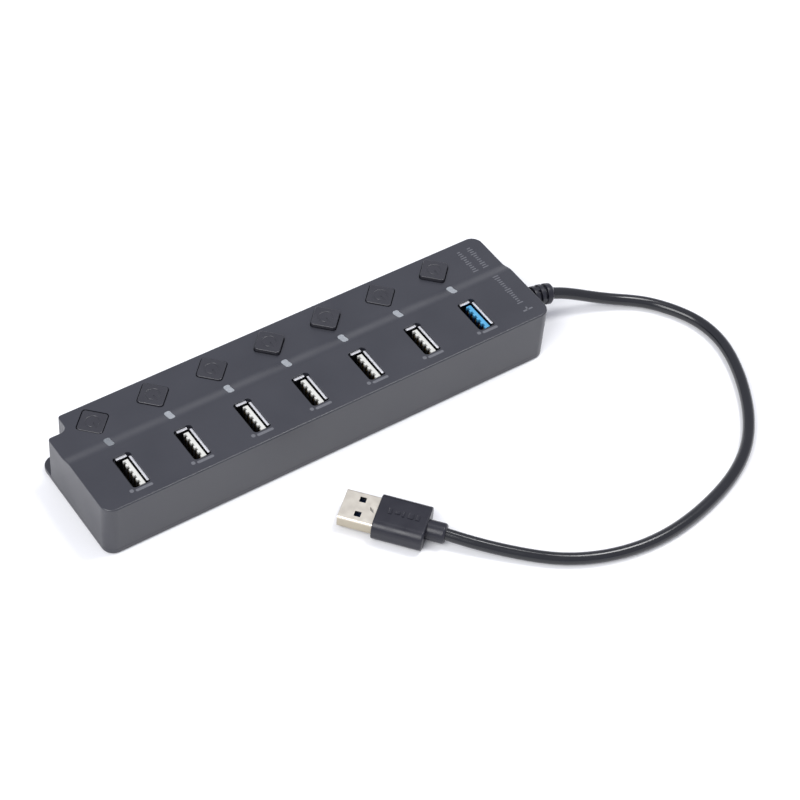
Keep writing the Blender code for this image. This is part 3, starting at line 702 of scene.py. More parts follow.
# %% Model the bottom cover
COVER_BOTTOM = 0.4 * MM
RIM_TOP = 4.4 * MM
RIM_INSET, RIM_THICKNESS = mm(1.8, 1.2)
SCREW_HEAD_RADIUS, SCREW_RADIUS = mm(2.4, 1.3)
SCREW_BOTTOM, SCREW_HEAD_TOP, SCREW_TIP = mm(1.3, 2.9, 12.0)
POST_RADIUS, POST_TOP = mm(3.5, 5.0)
STANDOFFS = places((-57.4, -14.0), (-57.4, 2.0), (50.0, -14.0), (50.0, 2.0))
STANDOFF_RADIUS, STANDOFF_TOP = mm(2.2, 4.9)
FEET = places((-64.0, -14.0), (-64.0, 14.0), (64.0, -14.0), (64.0, 14.0))
FOOT_RADIUS, FOOT_TOP = mm(4.0, 0.9)
CLEAR = 0.2 * MM

WELD = 0.5 * MM
outer_lip = grown((BODY_LENGTH, BODY_WIDTH), -RIM_INSET)
inner_lip = grown((BODY_LENGTH, BODY_WIDTH), -RIM_INSET - RIM_THICKNESS)

cover = rounded_block(
    "bottom_cover_moulding", (0, 0), (BODY_LENGTH, BODY_WIDTH), CORNER_RADIUS, COVER_BOTTOM, COVER_TOP,
    segments=10)
lip_cut = rounded_block(
    "lip_cut", (0, 0), inner_lip, CORNER_RADIUS - RIM_INSET, COVER_TOP, RIM_TOP + MM, segments=6)
lip = rounded_block(
    "lip", (0, 0), outer_lip, CORNER_RADIUS - RIM_INSET, COVER_TOP - WELD, RIM_TOP, segments=6)
with editing(cover):
    soften("Z", COVER_BOTTOM, 0.5 * MM, 3)
    soften("Z", COVER_TOP, 0.15 * MM, 2)
lip_notch = block(
    "lip_notch", (-BODY_LENGTH, NOTCH_Y - RIM_INSET, COVER_TOP),
    (NOTCH_X + RIM_INSET, BODY_WIDTH, RIM_TOP + MM))
combine(lip, [lip_cut, lip_notch], "DIFFERENCE")
posts = rods_at(BOSSES, "post", POST_RADIUS, COVER_TOP - WELD, POST_TOP)
posts += rods_at(STANDOFFS, "standoff", STANDOFF_RADIUS, COVER_TOP - WELD, STANDOFF_TOP)
combine(cover, [lip] + posts, "UNION")
recesses = rods_at(BOSSES, "recess", SCREW_HEAD_RADIUS + CLEAR, -MM, SCREW_HEAD_TOP + 0.1 * MM)
recesses += rods_at(BOSSES, "recess", SCREW_RADIUS + CLEAR, MM, POST_TOP + MM, sides=24)
recesses += rods_at(FEET, "recess", FOOT_RADIUS + CLEAR, -MM, FOOT_TOP + 0.05 * MM)
combine(cover, recesses, "DIFFERENCE")
finish_piece(cover, housing_abs, stands_for=("bottom_cover",))
count_faces(cover)

# %% [markdown]
# ## Feet and screws
# The feet are die-cut discs of matt black rubber, with softened edges. The screws are zinc-plated
# cross-head ones: a low rounded head with a cross pressed in, on a shank that goes up into the boss.

# %% Model the feet and the screws
rubber = make_finish(
    "matt_foot_rubber", "#1C1C1E #202022 #18181A", (0.85, 0.8, 0.9), mottle=3.0, grain=0.35, depth=0.03,
    IOR=1.52)
screw_steel = make_finish(
    "zinc_plated_steel", "#A9A9A6 #B4B4B0 #9A9A98", (0.34, 0.28, 0.42), mottle=1.5, grain=0.2, depth=0.004,
    Metallic=1.0)

foot = rod("foot_pad", FOOT_RADIUS, (0, 0, 0), (0, 0, FOOT_TOP), sides=64)
round_off(foot, "Z", 0, 0.25 * MM, 3)
screw = rod("screw", SCREW_HEAD_RADIUS, (0, 0, SCREW_BOTTOM), (0, 0, SCREW_HEAD_TOP))
with editing(screw):
    soften("Z", SCREW_BOTTOM, 0.7 * MM, 4)
    pick("FACE", lambda f: f.normal.z > 0.9)
    bpy.ops.mesh.inset(thickness=SCREW_HEAD_RADIUS - SCREW_RADIUS)
    draw_out(0, 0, SCREW_TIP - SCREW_HEAD_TOP - MM)
    draw_out(0, 0, MM)
    bpy.ops.transform.resize(value=(0.4, 0.4, 1), center_override=(0, 0, SCREW_TIP))
CROSS_LENGTH, CROSS_WIDTH, CROSS_DEPTH = mm(2.6, 0.55, 1.1)
cross = [
    block("cross", (-x / 2, -y / 2, 0), (x / 2, y / 2, SCREW_BOTTOM + CROSS_DEPTH))
    for x, y in ((CROSS_LENGTH, CROSS_WIDTH), (CROSS_WIDTH, CROSS_LENGTH))
]
combine(cross[0], [cross[1]], "UNION")
combine(screw, [cross[0]], "DIFFERENCE")
for number, (foot_place, screw_place) in enumerate(zip(FEET, BOSSES), 1):
    pad = copy_to(foot, f"foot_pad_copy_{number}", (*foot_place, 0))
    finish_piece(pad, rubber, stands_for=(f"foot_{number}",))
    fixing = copy_to(screw, f"screw_copy_{number}", (*screw_place, 0))
    finish_piece(fixing, screw_steel, stands_for=(f"screw_{number}",))
for model in (foot, screw):
    bpy.data.objects.remove(model, do_unlink=True)
print("four feet and four screws")

# %% [markdown]
# ## The socket shells
# Each socket has a shell folded from thin plated steel, standing upright in its hole. A block gets
# rounded corners, loses its two ends and is solidified to sheet thickness. Spring fingers are punched
# in the long walls and bent inwards, to hold a plug: a window is cut for each, and a slanting finger is
# welded in. At the top the right and the rear side are rolled outwards into flat lips that don't meet
# at the corner. The lips lie just below the box's top and catch the light, while the walls under them
# lie in shade, so the lips are pale matt tin and the walls get a painted shade: a near-black steel.

# %% Make the nickel and one socket shell, and copy it
nickel = make_finish(
    "nickel_plated_steel", "#DDD6C6 #E2DCCD #D3CBB9", (0.24, 0.17, 0.27),
    mottle=1.2, grain=0.35, depth=0.0015,
    stretch=(1, 1, 0.15), Metallic=1.0)
pale_tin = make_finish(
    "matt_tin_plated_steel", "#E2E2E4 #E8E8EA #DADADD", (0.5, 0.44, 0.56), mottle=1.2, grain=0.3, depth=0.002,
    Metallic=1.0)
# The socket walls' near-black colour is painted shade, not the steel's own colour.
painted_shade_steel = make_finish(
    "steel_with_painted_shade", "#3A3A3D #3F3F42 #343437", (0.5, 0.45, 0.58), mottle=2.0, grain=0.35, depth=0.004,
    Metallic=1.0)

SHEET = 0.3 * MM
SOCKET_BOTTOM, SOCKET_TOP = mm(7.1, 20.15)
LIP_HALF_LENGTHS = mm(5.55, 1.85)
LIP_REACH, LIP_OVERHANG = PORT_GAP - 0.05 * MM, 0.3 * MM
FINGER_WIDTH, FINGER_LOW, FINGER_HIGH = mm(2.6, 12.6, 18.6)
FINGER_PLACES = mm(-2.9, 2.9)
FINGER_BEND = 0.45 * MM
FINGER_SLOT = 0.25 * MM

socket = rounded_block(
    "socket_shell", (FIRST_X, PORT_Y), PORT_SIZE, PORT_RADIUS, SOCKET_BOTTOM, SOCKET_TOP, segments=6)
make_hollow(socket, SHEET, lambda f: abs(f.normal.z) > 0.9)
round_off(socket, "Z", SOCKET_TOP, 0.09 * MM, 2)
half_x = PORT_SIZE[0] / 2
windows, fingers = [], []
for side in (-1, 1):
    for place in FINGER_PLACES:
        y = PORT_Y + place
        outside, inside = FIRST_X + side * (half_x + SHEET), FIRST_X + side * (half_x - 2 * SHEET)
        reach = FINGER_WIDTH / 2 + FINGER_SLOT
        windows.append(block(
            "window", (outside, y - reach, FINGER_LOW), (inside, y + reach, FINGER_HIGH + FINGER_SLOT)))
        wall_out, wall_in = FIRST_X + side * half_x, FIRST_X + side * (half_x - SHEET)
        finger = block(
            "finger", (wall_out, y - FINGER_WIDTH / 2, FINGER_LOW - 0.2 * MM),
            (wall_in, y + FINGER_WIDTH / 2, FINGER_HIGH))
        with editing(finger):
            bend_at = FINGER_HIGH - 1.6 * MM
            slice_at("Z", bend_at)
            pick("VERT", lambda v: same(v.co.z, bend_at))
            bpy.ops.transform.translate(value=(-side * FINGER_BEND, 0, 0))
            pick("VERT", lambda v: same(v.co.z, FINGER_HIGH))
            bpy.ops.transform.translate(value=(-side * FINGER_BEND * 0.4, 0, 0))
        fingers.append(finger)
combine(socket, [joined(windows)], "DIFFERENCE")
combine(socket, [joined(fingers)], "UNION")
finish_row(socket, [(painted_shade_steel, "nickel")] * COUNT, "port_shell")
count_faces(socket)

# %% Roll the lips
strips = []
for along, half_length in enumerate(LIP_HALF_LENGTHS):
    wall = PORT_SIZE[along] / 2
    low, high = Vector((0, 0, SOCKET_TOP - 0.05 * MM)), Vector((0, 0, SOCKET_TOP - 0.05 * MM + SHEET))
    low[along], high[along] = wall - SHEET - LIP_OVERHANG, wall + LIP_REACH
    low[1 - along], high[1 - along] = -half_length, half_length
    shift = Vector((FIRST_X, PORT_Y, 0))
    strip = block("lip", low + shift, high + shift)
    round_off(strip, "Z", high.z, 0.05 * MM, 2)
    strips.append(strip)
lips = joined(strips)
lips.name = "socket_lips"
finish_row(lips, [(pale_tin, "nickel")] * COUNT)
print("lips rolled")

# %% [markdown]
# ## The tongues and their contacts
# A moulded block fills the bottom of each socket and carries the tongue, a thin upright blade that
# holds the contacts. Six are natural white PBT; the seventh is blue, which marks the fast port. The
# tongue is drawn up out of the block by bisecting its top face and extruding the strip between, and
# five slots are cut down its left face for the gold-plated contacts. Hardly any light gets down into a
# socket, so the plastic is given a painted shade: its colour darkens with depth.

# %% Model one tongue and one set of contacts
white_pbt = make_finish(
    "moulded_white_pbt", "#C8C8C3 #CECEC9 #C0C0BA", (0.4, 0.36, 0.45), mottle=2.5, grain=0.25, depth=0.006,
    IOR=1.55)
blue_pbt = make_finish(
    "moulded_blue_pbt", "#4A98C2 #52A2CB #418DB8", (0.38, 0.34, 0.42), mottle=2.5, grain=0.25, depth=0.006,
    IOR=1.55)
gold = make_finish(
    "gold_plated_bronze", "#8A6E35 #92763C #7E642E", (0.36, 0.3, 0.42), mottle=1.0, grain=0.2, depth=0.002,
    Metallic=1.0)


def paint_shade_below(material, height, reach, deep):
    """Paint shade onto a material: its colour goes towards a deep one over a reach below a height."""
    shader = material.node_tree.nodes["Principled BSDF"]
    plain = shader.inputs["Base Color"].links[0].from_socket
    where = add_node(material, "ShaderNodeTexCoord")
    parts = add_node(material, "ShaderNodeSeparateXYZ", inputs={"Vector": where.outputs["Object"]})
    share = add_node(material, "ShaderNodeMapRange", {"interpolation_type": "SMOOTHSTEP"}, {
        "Value": parts.outputs["Z"], "From Min": height - reach, "From Max": height,
    })
    shaded = add_node(material, "ShaderNodeMix", {"data_type": "RGBA"}, {
        "Factor": share.outputs["Result"], MIX_A: linear(deep), MIX_B: plain,
    })
    material.node_tree.links.new(shaded.outputs[MIX_RESULT], shader.inputs["Base Color"])


# Painted shade: the tongues' plastic darkens below this height, down into the socket.
DARK_FROM = 19.3 * MM
paint_shade_below(white_pbt, DARK_FROM, 1.1 * MM, "#2A2A2B")
paint_shade_below(blue_pbt, DARK_FROM, 1.4 * MM, "#0B1E3C")

BLOCK_HALF_X, BLOCK_HALF_Y = mm(2.26, 5.55)
BLOCK_LOW, BLOCK_TOP, TONGUE_TOP = mm(7.4, 9.8, 19.6)
TONGUE = (FIRST_X + 0.02 * MM, FIRST_X + 1.86 * MM)
CONTACT_PITCH, CONTACT_SHIFT = mm(2.1, 0.15)
SLOT_WIDTH, SLOT_DEPTH = mm(1.15, 0.6)
CONTACT_WIDTH, CONTACT_THICKNESS = mm(0.8, 0.22)
CONTACT_TOP = TONGUE_TOP - 2.2 * MM

tongue = block(
    "socket_tongue", (FIRST_X - BLOCK_HALF_X, PORT_Y - BLOCK_HALF_Y, BLOCK_LOW),
    (FIRST_X + BLOCK_HALF_X, PORT_Y + BLOCK_HALF_Y, BLOCK_TOP))
with editing(tongue):
    for side in TONGUE:
        slice_at("X", side)
    pick("FACE", lambda f: f.normal.z > 0.9 and TONGUE[0] < f.calc_center_median().x < TONGUE[1])
    draw_out(0, 0, TONGUE_TOP - BLOCK_TOP)
    pick("EDGE", lambda e: middle(e).z > BLOCK_TOP + MM and is_sharp(e))
    bevel(0.2 * MM, 3)
    pick("EDGE", lambda e: same(middle(e).z, BLOCK_TOP) and is_sharp(e) and abs(middle(e).x - FIRST_X) > 2 * MM)
    bevel(0.15 * MM, 2)
slots, contacts = [], []
for step in range(-2, 3):
    y = PORT_Y + CONTACT_SHIFT + step * CONTACT_PITCH
    slots.append(block(
        "slot", (TONGUE[0] - MM, y - SLOT_WIDTH / 2, BLOCK_TOP + 0.8 * MM),
        (TONGUE[0] + SLOT_DEPTH, y + SLOT_WIDTH / 2, TONGUE_TOP + MM)))
    contact = block(
        "contact", (TONGUE[0] + 0.12 * MM, y - CONTACT_WIDTH / 2, BLOCK_TOP + 0.9 * MM),
        (TONGUE[0] + 0.12 * MM + CONTACT_THICKNESS, y + CONTACT_WIDTH / 2, CONTACT_TOP))
    with editing(contact):
        pick("FACE", lambda f: f.normal.z > 0.9)
        draw_out(0.3 * MM, 0, 0.35 * MM)
        pick("EDGE", lambda e: is_sharp(e, 20))
        bevel(0.04 * MM, 1)
    contacts.append(contact)
combine(tongue, [joined(slots)], "DIFFERENCE")
contact_set = joined(contacts)
contact_set.name = "socket_contacts"
white, blue = (white_pbt, "insulator_white"), (blue_pbt, "insulator_blue")
finish_row(tongue, [white] * (COUNT - 1) + [blue], "port_insulator")
finish_row(contact_set, [(gold, "nickel")] * COUNT)
print("seven tongues with five contacts each")

# %% [markdown]
# ## The light windows
# A clear polycarbonate rod with a frosted end brings each port's light up from the board. It is pressed
# into its hole with no gap to see, flush with the ramp. Frosted plastic scatters light under its skin,
# so it looks pale grey and a little deep. The first window has less light behind it and reads darker.

# %% Model one light window and copy it
FROSTED = {
    "IOR": 1.58, "Subsurface_Weight": 0.3, "Subsurface_Radius": (1.0, 1.0, 1.0), "Subsurface_Scale": 0.6 * MM,
}
frosted_pc = make_finish(
    "frosted_polycarbonate", "#8D9195 #969A9E #82868A", (0.4, 0.34, 0.46),
    mottle=1.1, grain=0.3, depth=0.01, **FROSTED)
dim_pc = make_finish(
    "frosted_polycarbonate_darker", "#6E7276 #777B7F #64686C", (0.4, 0.34, 0.46),
    mottle=1.1, grain=0.3, depth=0.01, **FROSTED)
LIGHT_BOTTOM = 8.6 * MM
window = rounded_block(
    "light_window", (FIRST_X, LIGHT_Y), LIGHT_SIZE, LIGHT_RADIUS, LIGHT_BOTTOM, FRONT_TOP - 0.02 * MM)
press_down_rear(window, above=FRONT_TOP - MM)
with editing(window):
    pick("EDGE", lambda e: middle(e).z > REAR_TOP and is_sharp(e))
    bevel(0.08 * MM, 2)
finish_row(window, [(dim_pc, "light")] + [(frosted_pc, "light")] * (COUNT - 1), "light_pipe")
count_faces(window)

# %% [markdown]
# ## The push buttons
# Each button is a square cap standing on its corner, with a rounded top edge, a retaining flange that
# keeps it from coming out and a stem down to its latching switch. The power sign, a ring with a gap and
# a bar through it, is engraved in the top as a shallow round groove, whose slopes catch the light in
# short glints. The ring's cutter is spun: one small round section goes most of the way round. Three of
# the buttons stand out, which is off, and the others are latched down, three of them a little loosely.

# %% Model one button and copy it
ICON_RADIUS, ICON_DEPTH, GROOVE_ROUND = mm(2.3, 0.12, 0.36)
ICON_GAP = math.radians(64)
FLANGE_SIDE, FLANGE_DEPTH, FLANGE_THICKNESS = mm(9.0, 3.6, 1.0)
STEM_SIDE, STEM_LENGTH = mm(3.0, 4.0)
BUTTON_EDGE = 0.3 * MM
TRAVEL = 1.3 * MM
LATCH_PLAY = 0.4 * MM
RAISED, LOOSE = (4, 5, 7), (2, 3, 6)

cap = rounded_block(
    "button_cap", (0, 0), square, BUTTON_RADIUS, -FLANGE_DEPTH - 0.2 * MM, 0.0,
    turn=math.radians(45), segments=6)
round_off(cap, "Z", 0, BUTTON_EDGE, 4)
stem_top = -FLANGE_DEPTH - FLANGE_THICKNESS
flange = rounded_block("flange", (0, 0), (FLANGE_SIDE, FLANGE_SIDE), BUTTON_RADIUS, stem_top, -FLANGE_DEPTH)
stem = rounded_block(
    "stem", (0, 0), (STEM_SIDE, STEM_SIDE), 0.3 * MM, stem_top - STEM_LENGTH, stem_top + 0.2 * MM, segments=2)
combine(cap, [flange, stem], "UNION")

above = GROOVE_ROUND - ICON_DEPTH
ring = rod("ring", GROOVE_ROUND, (ICON_RADIUS, -0.01 * MM, above), (ICON_RADIUS, 0, above), sides=16)
with editing(ring):
    pick("FACE", lambda f: f.normal.y > 0.9)
    bpy.ops.mesh.spin(steps=44, angle=ICON_GAP - 2 * math.pi, center=(0, 0, 0), axis=(0, 0, 1))
ring.rotation_euler.z = ICON_GAP / 2 - math.pi / 2
apply_place(ring)
bar = rod("bar", GROOVE_ROUND, (0, -ICON_RADIUS * 1.2, above), (0, -ICON_RADIUS * 0.25, above), sides=16)
combine(cap, [ring, bar], "DIFFERENCE")
for number in range(1, COUNT + 1):
    height = REAR_TOP + (TRAVEL if number in RAISED else LATCH_PLAY if number in LOOSE else 0.0)
    made = copy_to(cap, f"push_button_cap_{number}", (FIRST_X + PITCH * (number - 1), BUTTON_Y, height))
    finish_piece(made, button_abs, body=f"push_button_{number}",
                 stands_for=(f"button_{number}",))
bpy.data.objects.remove(cap, do_unlink=True)
print("seven buttons,", len(RAISED), "of them raised")

# %% [markdown]
# ## Printed marks
# A light grey mark is pad-printed in front of each socket: a dot and a short bar. At the right end the
# real hub has words; here plain rows of short strokes take their place. Ink lies on the plastic as a
# film, so each mark is a very thin solid with rounded ends, a fiftieth of a millimetre high.

# %% Print the marks
ink = make_finish(
    "pad_printed_grey_ink", "#5A5B60 #616267 #525358", (0.55, 0.5, 0.62), mottle=0.8, grain=0.2, depth=0.004,
    IOR=1.5)
ROWS = ((73.3, 7.4, 10.4, REAR_TOP), (77.4, 7.4, 10.6, REAR_TOP), (76.5, -13.2, 14.0, FRONT_TOP))
STROKES = (2.3, 1.5, 1.6, 1.2, 2.1, 1.5, 1.3)
STROKE_PITCH, STROKE_WIDTH = 1.0, 0.42


def printed(name, strokes, top, look):
    """One mark of several thin rounded strokes, each (x, y, length, width, turn)."""
    made = []
    for x, y, length, width, turn in strokes:
        made.append(rounded_block(
            "stroke", (x, y), (length, width), 0.45 * min(length, width), top - 0.01 * MM,
            top + PRINT_HEIGHT, turn=turn, segments=3))
    mark = joined(made)
    mark.name = name
    finish_piece(mark, look)
    return mark


for number in range(COUNT):
    x = FIRST_X + PITCH * number
    printed(f"port_mark_{number + 1}", [
        (x - 4.1 * MM, PORT_Y - 7.45 * MM, 1.35 * MM, 1.35 * MM, 0.0),
        (x, PORT_Y - 7.95 * MM, 5.9 * MM, 1.0 * MM, 0.0),
    ], FRONT_TOP, ink)
for row, (x, start, length, top) in enumerate(ROWS, 1):
    printed(f"print_row_{row}", [
        (x * MM, (start + step * STROKE_PITCH) * MM, STROKES[(step * row) % len(STROKES)] * MM,
         STROKE_WIDTH * MM, 0.0)
        for step in range(int(length / STROKE_PITCH) + 1)
    ], top, ink)
printed("print_sign", [
    (76.9 * MM, -17.0 * MM, 3.8 * MM, 0.6 * MM, 0.0), (76.9 * MM, -16.4 * MM, 0.6 * MM, 1.5 * MM, 0.0),
], FRONT_TOP, ink)
print("printed marks done")

# %% [markdown]
# ## The cable's sleeve
# A moulded PVC sleeve grips the cable where it leaves the box, so that bending is spread over its
# length. It is grown from a short disc: the end face is extruded and resized ring after ring, which
# gives the flange inside the wall, the neck through it and the ribs outside. Small webs join the ribs
# in turn, and a Curve modifier then bends the sleeve along the cable's own route.

# %% Grow the sleeve and bend it
mould_pvc = make_finish(
    "moulded_satin_pvc", "#1D1D26 #202029 #191921", (0.32, 0.27, 0.38), mottle=5.0, grain=0.45, depth=0.02,
    IOR=1.5, Specular_IOR_Level=0.4)

FLANGE_RADIUS, RIB_RADIUS, GROOVE_RADIUS = mm(4.6, 3.6, 2.6)
RIB_PITCH, GROOVE_WIDTH, GROOVES = 2.35 * MM, 0.9 * MM, 4
FLANGE_FROM = 3.3 * MM
COLLAR_END = RELIEF_LENGTH - 0.9 * MM


def grow_rings(steps):
    """Extrude the end face that is selected and resize it, for each (x, radius) in turn."""
    x, radius = steps[0]
    for next_x, next_radius in steps[1:]:
        draw_out(next_x - x, 0, 0)
        if next_radius != radius:
            ratio = next_radius / radius
            bpy.ops.transform.resize(value=(1, ratio, ratio), center_override=(next_x, 0, 0))
        x, radius = next_x, next_radius


rings = [(0.3 * MM, FLANGE_RADIUS), (1.5 * MM, FLANGE_RADIUS), (1.5 * MM, NECK_RADIUS),
         (FLANGE_FROM + 0.25 * MM, NECK_RADIUS), (FLANGE_FROM + 0.25 * MM, RIB_RADIUS)]
for number in range(GROOVES):
    at = FLANGE_FROM + RIB_PITCH * (number + 1) - GROOVE_WIDTH / 2
    rings += [(at, RIB_RADIUS), (at, GROOVE_RADIUS), (at + GROOVE_WIDTH, GROOVE_RADIUS),
              (at + GROOVE_WIDTH, RIB_RADIUS)]
rings += [(FLANGE_FROM + COLLAR_END - 1.1 * MM, RIB_RADIUS), (FLANGE_FROM + COLLAR_END, 2.5 * MM)]
sleeve = rod("cable_sleeve", FLANGE_RADIUS, (0, 0, 0), (0.3 * MM, 0, 0), sides=64)
with editing(sleeve):
    pick("FACE", lambda f: f.normal.x > 0.9)
    grow_rings(rings)
    bpy.ops.mesh.select_all(action="SELECT")
    bpy.ops.mesh.remove_doubles(threshold=1e-7)
    bpy.ops.mesh.normals_make_consistent(inside=False)
    pick("EDGE", lambda e: is_sharp(e, 40) and middle(e).x > FLANGE_FROM)
    bevel(0.18 * MM, 3)
webs = []
for number in range(GROOVES):
    at = FLANGE_FROM + RIB_PITCH * (number + 1)
    wide, tall = ((0.8 * MM, RIB_RADIUS - 0.25 * MM), (RIB_RADIUS - 0.25 * MM, 0.8 * MM))[number % 2]
    webs.append(block(
        "web", (at - 0.6 * GROOVE_WIDTH, -wide, -tall), (at + 0.6 * GROOVE_WIDTH, wide, tall)))
combine(sleeve, webs, "UNION")
for step in np.linspace(FLANGE_FROM + 0.5 * MM, FLANGE_FROM + COLLAR_END - MM, 12):
    with editing(sleeve):
        slice_at("X", step)
inner_end = Vector((HALF_LENGTH - FLANGE_FROM, EXIT_Y, EXIT_Z))
guide = open_curve("sleeve_guide", [inner_end, inner_end + Vector((1.5 * MM, 0, 0))] + route[:20])
modify(sleeve, "CURVE", object=guide, deform_axis="POS_X")
bpy.data.objects.remove(guide, do_unlink=True)
finish_piece(sleeve, mould_pvc, stands_for=("strain_relief",), angle=35)
count_faces(sleeve)

# %% [markdown]
# ## The plug
# The plug is modelled lying along X at the origin, from the cable's end to the tip, and is then turned
# and moved to where it lies. The grip is PVC moulded over the metal: a bar with well-rounded long
# sides and a round neck for the cable, with a few plain raised bars on top. The metal shell is folded
# like the sockets', with two square latch holes in each face, three short stamped lines and a seam.

# %% Model the plug's grip
PLUG_PLACE = mm(8.65, -70.0, 4.0)
PLUG_TURN = math.radians(129.87)
GRIP_NECK_RADIUS, GRIP_NECK_LENGTH = mm(3.3, 6.0)
GRIP_LENGTH, GRIP_WIDTH, GRIP_HEIGHT, GRIP_RADIUS = mm(16.4, 15.2, 8.0, 3.2)
GRIP_FRONT = GRIP_NECK_LENGTH + GRIP_LENGTH
SHELL_WIDTH, SHELL_HEIGHT, SHELL_RADIUS = mm(12.0, 4.5, 0.6)
SHELL_IN, SHELL_OUT = mm(3.0, 11.3)
HOLE_SIDE, HOLE_FROM_TIP, HOLE_SPACING = mm(2.1, 5.8, 3.0)


def lying_block(name, length, width, height, radius, segments):
    """A bar along X, between two lengths, with rounded long edges."""
    made = block(name, (length[0], -width / 2, -height / 2), (length[1], width / 2, height / 2))
    with editing(made):
        pick("EDGE", lambda e: runs_along(e, "X"))
        bevel(radius, segments)
    return made


def lay_plug(piece):
    piece.rotation_euler.z = PLUG_TURN
    piece.location = PLUG_PLACE
    apply_place(piece)


grip = lying_block("plug_grip", (GRIP_NECK_LENGTH, GRIP_FRONT), GRIP_WIDTH, GRIP_HEIGHT, GRIP_RADIUS, 10)
with editing(grip):
    soften("X", GRIP_NECK_LENGTH, 0.6 * MM, 4)
    soften("X", GRIP_FRONT, 0.35 * MM, 3)
neck = rod("neck", GRIP_NECK_RADIUS, (0, 0, 0), (GRIP_NECK_LENGTH + MM, 0, 0), sides=64)
round_off(neck, "X", 0, 0.9 * MM, 4)
combine(grip, [neck], "UNION")
pocket = lying_block(
    "pocket", (GRIP_FRONT - SHELL_IN - 0.2 * MM, GRIP_FRONT + MM), SHELL_WIDTH + 0.2 * MM,
    SHELL_HEIGHT + 0.2 * MM, SHELL_RADIUS + 0.1 * MM, 4)
combine(grip, [pocket], "DIFFERENCE")
RAISED_BARS = ((9.4, 1.3, 2.2), (11.7, 1.9, 2.2), (14.0, 0.8, 2.2), (15.9, 1.7, 1.2), (18.3, 1.3, 2.2))
raised_bars = []
for x, length, width in RAISED_BARS:
    raised = rounded_block(
        "raised", (x * MM, 0), (length * MM, width * MM), 0.3 * MM, GRIP_HEIGHT / 2 - 0.3 * MM,
        GRIP_HEIGHT / 2 + 0.2 * MM, segments=3)
    with editing(raised):
        pick("FACE", lambda f: f.normal.z > 0.9)
        bpy.ops.mesh.inset(thickness=0.28 * MM, depth=-0.15 * MM)
    raised_bars.append(raised)
combine(grip, [joined(raised_bars)], "UNION")
lay_plug(grip)
finish_piece(grip, mould_pvc, stands_for=("plug_overmould",))
count_faces(grip)

# %% Model the plug's metal shell
painted_shade_nickel = make_finish(
    "nickel_plate_with_painted_shade", "#E6DFD0 #EBE5D7 #DDD5C4", (0.34, 0.3, 0.38), mottle=2.2, grain=0.3, depth=0.001,
    stretch=(1, 1, 0.3), Metallic=1.0)
# Painted shade: the shell's colour darkens below its top, down its sides.
paint_shade_below(painted_shade_nickel, PLUG_PLACE[2] + SHELL_HEIGHT / 2 - 0.3 * MM, 0.7 * MM, "#B4AC9B")
tip = GRIP_FRONT + SHELL_OUT
shell_start = GRIP_FRONT - SHELL_IN
plug_metal = lying_block("plug_metal_shell", (shell_start, tip), SHELL_WIDTH, SHELL_HEIGHT, SHELL_RADIUS, 5)
make_hollow(plug_metal, SHEET, lambda f: abs(f.normal.x) > 0.9)
round_off(plug_metal, "X", tip, 0.12 * MM, 3)
holes = [
    rounded_block(
        "latch_hole", (tip - HOLE_FROM_TIP, side * HOLE_SPACING), (HOLE_SIDE, HOLE_SIDE), 0.2 * MM,
        -SHELL_HEIGHT, SHELL_HEIGHT, segments=3)
    for side in (-1, 1)
]
SEAM_HALF, SEAM_DEPTH = mm(0.04, 0.12)
holes.append(block(
    "seam", (shell_start - MM, -SEAM_HALF, -SHELL_HEIGHT),
    (tip + MM, SEAM_HALF, -SHELL_HEIGHT / 2 + SEAM_DEPTH)))
STAMPS, STAMP_SIZE = 3, (0.2 * MM, 1.5 * MM)
for step in range(STAMPS):
    holes.append(rounded_block(
        "stamp", (GRIP_FRONT + (1.3 + 0.45 * step) * MM, (0.4 - 0.3 * step) * MM), STAMP_SIZE, 0.06 * MM,
        SHELL_HEIGHT / 2 - SHEET - 0.1 * MM, SHELL_HEIGHT, turn=math.radians(20), segments=2))
combine(plug_metal, [joined(holes)], "DIFFERENCE")
lay_plug(plug_metal)
finish_piece(plug_metal, painted_shade_nickel, stands_for=("plug_shell",))
count_faces(plug_metal)

# %% [markdown]
# Inside the shell a blade of the same plastic carries the contacts: four long gold strips at the front
# and five short ones behind them, which a fast plug has. The blade fills the lower half of the shell.

# %% Model the plug's blade and contacts
BLADE_GAP = 0.15 * MM
BLADE_LOW = -SHELL_HEIGHT / 2 + SHEET + BLADE_GAP
BLADE_TOP = BLADE_LOW + 1.6 * MM
BLADE_HALF = SHELL_WIDTH / 2 - SHEET - 0.3 * MM
BLADE_BACK, BLADE_STEP, BLADE_TIP = shell_start + 0.3 * MM, shell_start + 4.8 * MM, tip - 0.5 * MM

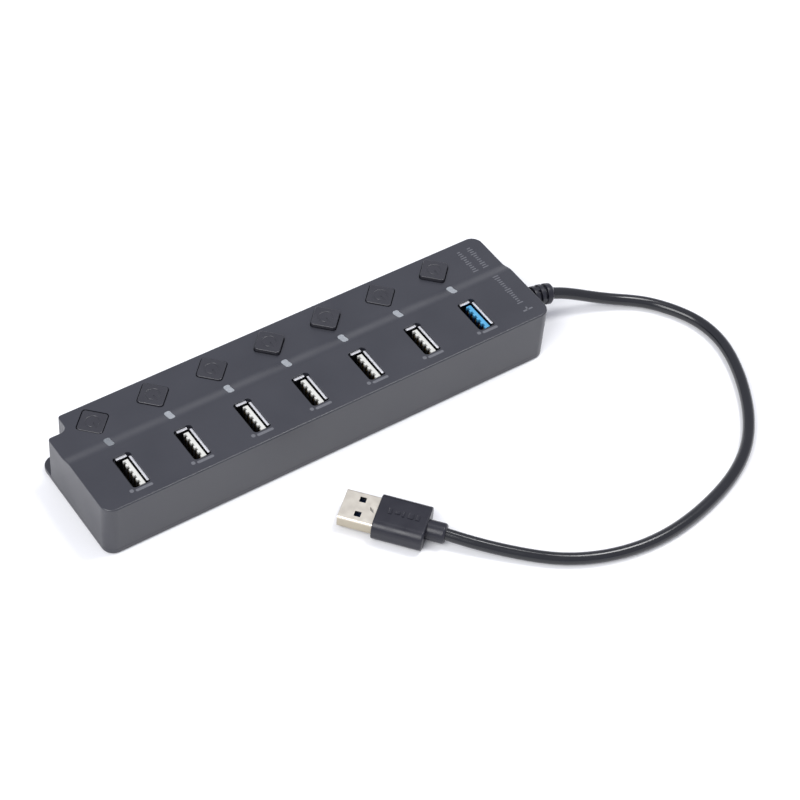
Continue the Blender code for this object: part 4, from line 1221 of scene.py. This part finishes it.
blade = block("plug_blade", (BLADE_BACK, -BLADE_HALF, BLADE_LOW), (BLADE_TIP, BLADE_HALF, BLADE_TOP))
with editing(blade):
    slice_at("X", BLADE_STEP)
    pick("FACE", lambda f: f.normal.z > 0.9 and f.calc_center_median().x < BLADE_STEP)
    draw_out(0, 0, SHELL_HEIGHT / 2 - SHEET - BLADE_GAP - BLADE_TOP)
    soften("X", BLADE_TIP, 0.3 * MM, 2)
STRIP_TOP = BLADE_TOP + 0.08 * MM
front = (BLADE_STEP + 5.2 * MM, BLADE_TIP - 0.4 * MM, 1.0 * MM)
rear = (BLADE_STEP + 0.2 * MM, BLADE_STEP + 1.5 * MM, 0.7 * MM)
strips = []
for (start, end, width), lines in ((front, (-3.5, -1, 1, 3.5)), (rear, (-4, -2, 0, 2, 4))):
    for y in lines:
        low, high = y * MM - width / 2, y * MM + width / 2
        strip = block("strip", (start, low, BLADE_TOP - 0.05 * MM), (end, high, STRIP_TOP))
        with editing(strip):
            soften("Z", STRIP_TOP, 0.04 * MM, 1)
        strips.append(strip)
plug_contacts = joined(strips)
plug_contacts.name = "plug_contacts"
for made in (blade, plug_contacts):
    lay_plug(made)
# Low in the plug, the blade takes the full deep navy of the blue plastic's painted shade.
finish_piece(blade, blue_pbt, stands_for=("plug_insulator",))
finish_piece(plug_contacts, gold)
print("plug done")

# %% [markdown]
# ## Inside the box
# The board, its chips and the switches keep the engineering model's shapes, and only a sliver of them
# can be seen through the sockets. Each still gets the finish of the real thing: green solder mask over
# fibreglass, black epoxy chips, a steel crystal can, a capacitor in a dark sleeve.

# %% Finish the hidden parts
def give(look, *names):
    for name in names:
        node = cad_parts[name]
        node.data.materials.clear()
        node.data.materials.append(look)


solder_mask = make_finish(
    "green_solder_mask", "#1E6B42 #24784B #185A37", (0.3, 0.25, 0.36), mottle=4.0, grain=0.5, depth=0.01,
    IOR=1.52)
epoxy = make_finish(
    "black_moulding_epoxy", "#1D1D1F #222225 #18181A", (0.55, 0.5, 0.62), mottle=1.5, grain=0.15, depth=0.01,
    IOR=1.55)
film = make_finish(
    "dark_blue_pet_sleeve", "#20243F #252A49 #1B1F37", (0.3, 0.26, 0.36), mottle=2.0, grain=0.4, depth=0.005,
    IOR=1.57)
switch_pbt = make_finish(
    "moulded_black_pbt", "#232326 #28282B #1E1E20", (0.5, 0.45, 0.56), mottle=2.5, grain=0.25, depth=0.01,
    IOR=1.55)
give(solder_mask, "circuit_board")
give(epoxy, "hub_controller_1", "hub_controller_2")
give(nickel, "crystal")
give(film, "capacitor")
# Low in the box, the connector takes the full dark grey of the white plastic's painted shade.
give(white_pbt, "cable_connector")
give(switch_pbt, *[f"switch_body_{number}" for number in range(1, COUNT + 1)])
give(cable_pvc, "inner_lead")
print("hidden parts finished")

# %% Check the size
new_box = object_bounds()
for side, old, new in zip(("low", "high"), cad_box, new_box):
    print(side, "corner moves by (mm):", [round((b - a) / MM, 2) for a, b in zip(old, new)])
